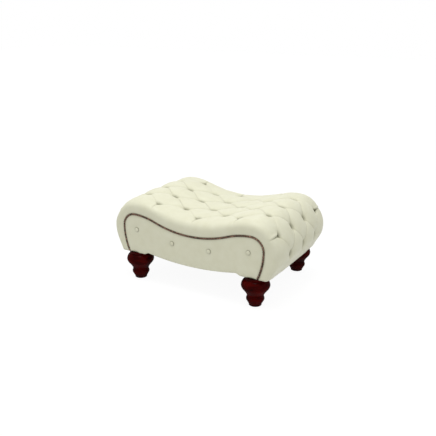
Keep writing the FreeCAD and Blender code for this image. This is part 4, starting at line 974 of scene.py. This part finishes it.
antique, nodes, links, shader = new_material("antique_brass", (0.07, 0.035, 0.022), 0.42, Metallic=0.55)
tone = add_node(nodes, "TexNoise", Scale=150, Detail=3)
lay_on_piece(nodes, links, tone)
nail_tones = (0.012, 0.007, 0.005), (0.34, 0.19, 0.13)
two_tones(nodes, links, tone.outputs[0], shader.inputs["Base Color"], *nail_tones, 0.42, 0.62)
chance = random.Random(11)
nail_line = spaced(whole_outline(0.0, nails_end, 200), nail_count)
for side, name in ((1, "front"), (-1, "back")):
    mesh = bmesh.new()
    for point in nail_line:
        centre = Vector((point.x, -(half_depth + nail_out) * side, point.y))
        lean = Vector((chance.uniform(-nail_lean, nail_lean), -side, chance.uniform(-nail_lean, nail_lean)))
        add_turned(mesh, nail_profile, 12, centre, lean.normalized())
    join_seams(mesh)
    nails = new_piece(f"{name}_nails", mesh, antique)
    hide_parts(f"{name}_nail_trim")


# FEET: four turned feet of polished mahogany, each with a collar, a wide bulb, a narrow neck, a
# small ring and a plain base with fine turned lines, bolted up through its corner block.

foot_across, foot_deep = shoulder_across + 7, half_depth - 42.2
foot_profile = [
    (13.2, 2.0), (26.0, 2.0), (27.4, 3.0), (27.6, 9.0), (26.9, 10.0), (28.6, 11.0), (30.6, 13.0),
    (33.6, 18.5), (34.6, 21.6), (33.8, 22.4), (35.6, 23.6), (38.0, 26.2), (39.2, 29.6), (39.5, 33.0),
    (39.1, 36.6), (37.8, 39.6), (36.0, 41.4), (35.0, 42.2), (35.2, 43.2), (36.6, 44.4), (37.0, 46.6),
    (36.6, 48.8), (35.8, 49.6), (36.8, 50.6), (40.2, 57.0), (45.8, 65.8), (52.0, 73.4), (57.2, 79.6),
    (60.9, 86.6), (62.6, 92.6), (62.7, 96.0), (61.7, 101.0), (59.2, 107.6), (55.8, 113.6), (51.2, 118.6),
    (48.2, 120.8), (46.8, 122.2), (47.0, 123.4), (48.0, 124.6), (48.0, underside),
]
mahogany, nodes, links, shader = new_material(
    "polished_mahogany", (0.05, 0.004, 0.003), 0.34, Specular_IOR_Level=0.0,
    Coat_Weight=0.07, Coat_Roughness=0.12, Coat_IOR=1.4,
)
stretch = add_node(nodes, "Mapping", Scale=(22, 22, 60))
figure = add_node(nodes, "TexNoise", Scale=1, Detail=4, Distortion=0.3)
lay_on_piece(nodes, links, stretch)
links.new(stretch.outputs[0], figure.inputs["Vector"])
foot_tones = (0.014, 0.0006, 0.0003), (0.076, 0.0012, 0.0005)
two_tones(nodes, links, figure.outputs[0], shader.inputs["Base Color"], *foot_tones, 0.3, 0.68)
foot_mesh = bmesh.new()
for end in (-1, 1):
    for side in (-1, 1):
        axis = Vector((end * foot_across, side * foot_deep, 0))
        add_turned(foot_mesh, foot_profile, 72, axis, Vector((0, 0, 1)))
join_seams(foot_mesh)
feet = new_piece("mahogany_feet", foot_mesh, mahogany)
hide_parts("turned_feet")


# FIXINGS: a bolt through each corner block into its foot, its nut above, and a nylon glide under
# the foot; taut twines waxed against rot, tied to tabs of thick hide under the deck.

bright, nodes, links, shader = new_material("zinc_plated_steel", (0.55, 0.56, 0.58), 0.34, Metallic=1.0)
speckle = add_node(nodes, "TexNoise", Scale=400)
roughness = add_node(nodes, "MapRange", To_Min=0.28, To_Max=0.45)
links.new(speckle.outputs[0], roughness.inputs["Value"])
links.new(roughness.outputs["Result"], shader.inputs["Roughness"])
give("foot_bolts", bright)
give("foot_nuts", bright)


def plain_with_grain(name, dark, light, scale, roughness):
    """A plain stuff whose tone wanders a little."""
    material, nodes, links, shader = new_material(name, light, roughness)
    tone = add_node(nodes, "TexNoise", Scale=scale)
    lay_on_piece(nodes, links, tone)
    two_tones(nodes, links, tone.outputs[0], shader.inputs["Base Color"], dark, light)
    return material


give("foot_glides", plain_with_grain("grey_nylon", (0.10, 0.10, 0.10), (0.17, 0.17, 0.165), 300, 0.5))
give("twine_tabs", plain_with_grain("tab_leather", (0.20, 0.10, 0.05), (0.36, 0.21, 0.11), 120, 0.65))

twine_radius = 1.1
twines = bmesh.new()
for row in range(-last_row, last_row + 1):
    place = place_of(row)
    length = padding_under(place) - well_floor - strap_out
    profile = [(0.0, 0.0), (twine_radius, 0.0), (twine_radius, length), (0.0, length)]
    for depth in button_columns(row):
        add_turned(twines, profile, 8, on_seat(place, depth, strap_out), square_off(row, depth))
join_seams(twines)
waxed_cord = plain_with_grain("waxed_twine", (0.50, 0.42, 0.27), (0.72, 0.64, 0.46), 500, 0.7)
twine_piece = new_piece("waxed_twines", twines, waxed_cord)
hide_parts("button_twines")


# DUST COVER: a sheet of black cambric closing the bottom, stapled to the rails and battens every
# inch or so; it sags a little between them.

dust_across, dust_deep, dust_top, dust_sag, dust_thickness = 346.0, 235.1, 140.0, 3.5, 0.6
dust_columns, dust_rows = 32, 24
dust = bmesh.new()
sheets = []
for thick in (0.0, dust_thickness):
    rows = []
    for i in range(dust_columns + 1):
        along = 2 * i / dust_columns - 1
        row = []
        for j in range(dust_rows + 1):
            aside = 2 * j / dust_rows - 1
            hang = dust_sag * (1 - along ** 2) * (1 - aside ** 2) ** 0.8
            row.append((dust_across * along, dust_deep * aside, dust_top - thick - hang))
        rows.append(row)
    sheets.append(add_grid(dust, rows))
upper, lower = sheets
rims = [(upper[0], lower[0]), (upper[-1], lower[-1])]
for last in (0, -1):
    rims.append(([row[last] for row in upper], [row[last] for row in lower]))
for near, far in rims:
    for k in range(len(near) - 1):
        dust.faces.new((near[k], near[k + 1], far[k + 1], far[k]))
cambric = woven_material(
    "black_cambric", (0.008, 0.008, 0.009), (0.028, 0.028, 0.03), threads=420, roughness=0.95)
dust_piece = new_piece("sagging_dust_cover", dust, cambric)
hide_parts("dust_cover")


# STAPLES: thin staples of plated steel wire, driven up through the edges of the dust cover and
# through the turned-in hem at both ends. Their crowns lie on the cloth, a little out of line.

staple_half, wire_half, wire_thin = 5.0, 0.6, 0.25
long_side_staples, long_side_gap = 21, 32
end_staples, end_gap = 15, 30
from_dust_edge, hem_staples_across = 6, 351.5


def add_staple(mesh, centre, along):
    """The crown of a staple, ten millimetres long, with the bends down into its legs."""
    aside = Vector((along.y, -along.x, 0))
    half = [(staple_half - 0.6, -0.3), (staple_half, 0.3), (staple_half, 1.6)]
    wire = [(-reach, up) for reach, up in reversed(half)] + half
    corners = [(wide * wire_half, high * wire_thin) for wide, high in round_a_square]
    rings = []
    for reach, up in wire:
        ring = []
        for wide, high in corners + corners[:1]:
            if up > 0:
                shift, height = math.copysign(high, reach), up
            else:
                shift, height = 0.0, up + high
            ring.append(centre + along * (reach - shift) + aside * wide + Vector((0, 0, height)))
        rings.append(ring)
    add_grid(mesh, rings)


staples = bmesh.new()
dust_face = dust_top - 0.9
for side in (-1, 1):
    for across in in_line(long_side_staples, long_side_gap):
        lie = Vector((chance.uniform(0.96, 1), chance.uniform(-0.2, 0.2), 0)).normalized()
        add_staple(staples, Vector((across, side * (dust_deep - from_dust_edge), dust_face)), lie)
    for deep_at in in_line(end_staples, end_gap):
        lie = Vector((chance.uniform(-0.2, 0.2), 1, 0)).normalized()
        add_staple(staples, Vector((side * (dust_across - from_dust_edge), deep_at, dust_face)), lie)
        add_staple(staples, Vector((side * hem_staples_across, deep_at, underside + 0.2)), lie)
join_seams(staples)
staple_piece = new_piece("edge_staples", staples, bright, smooth=False)
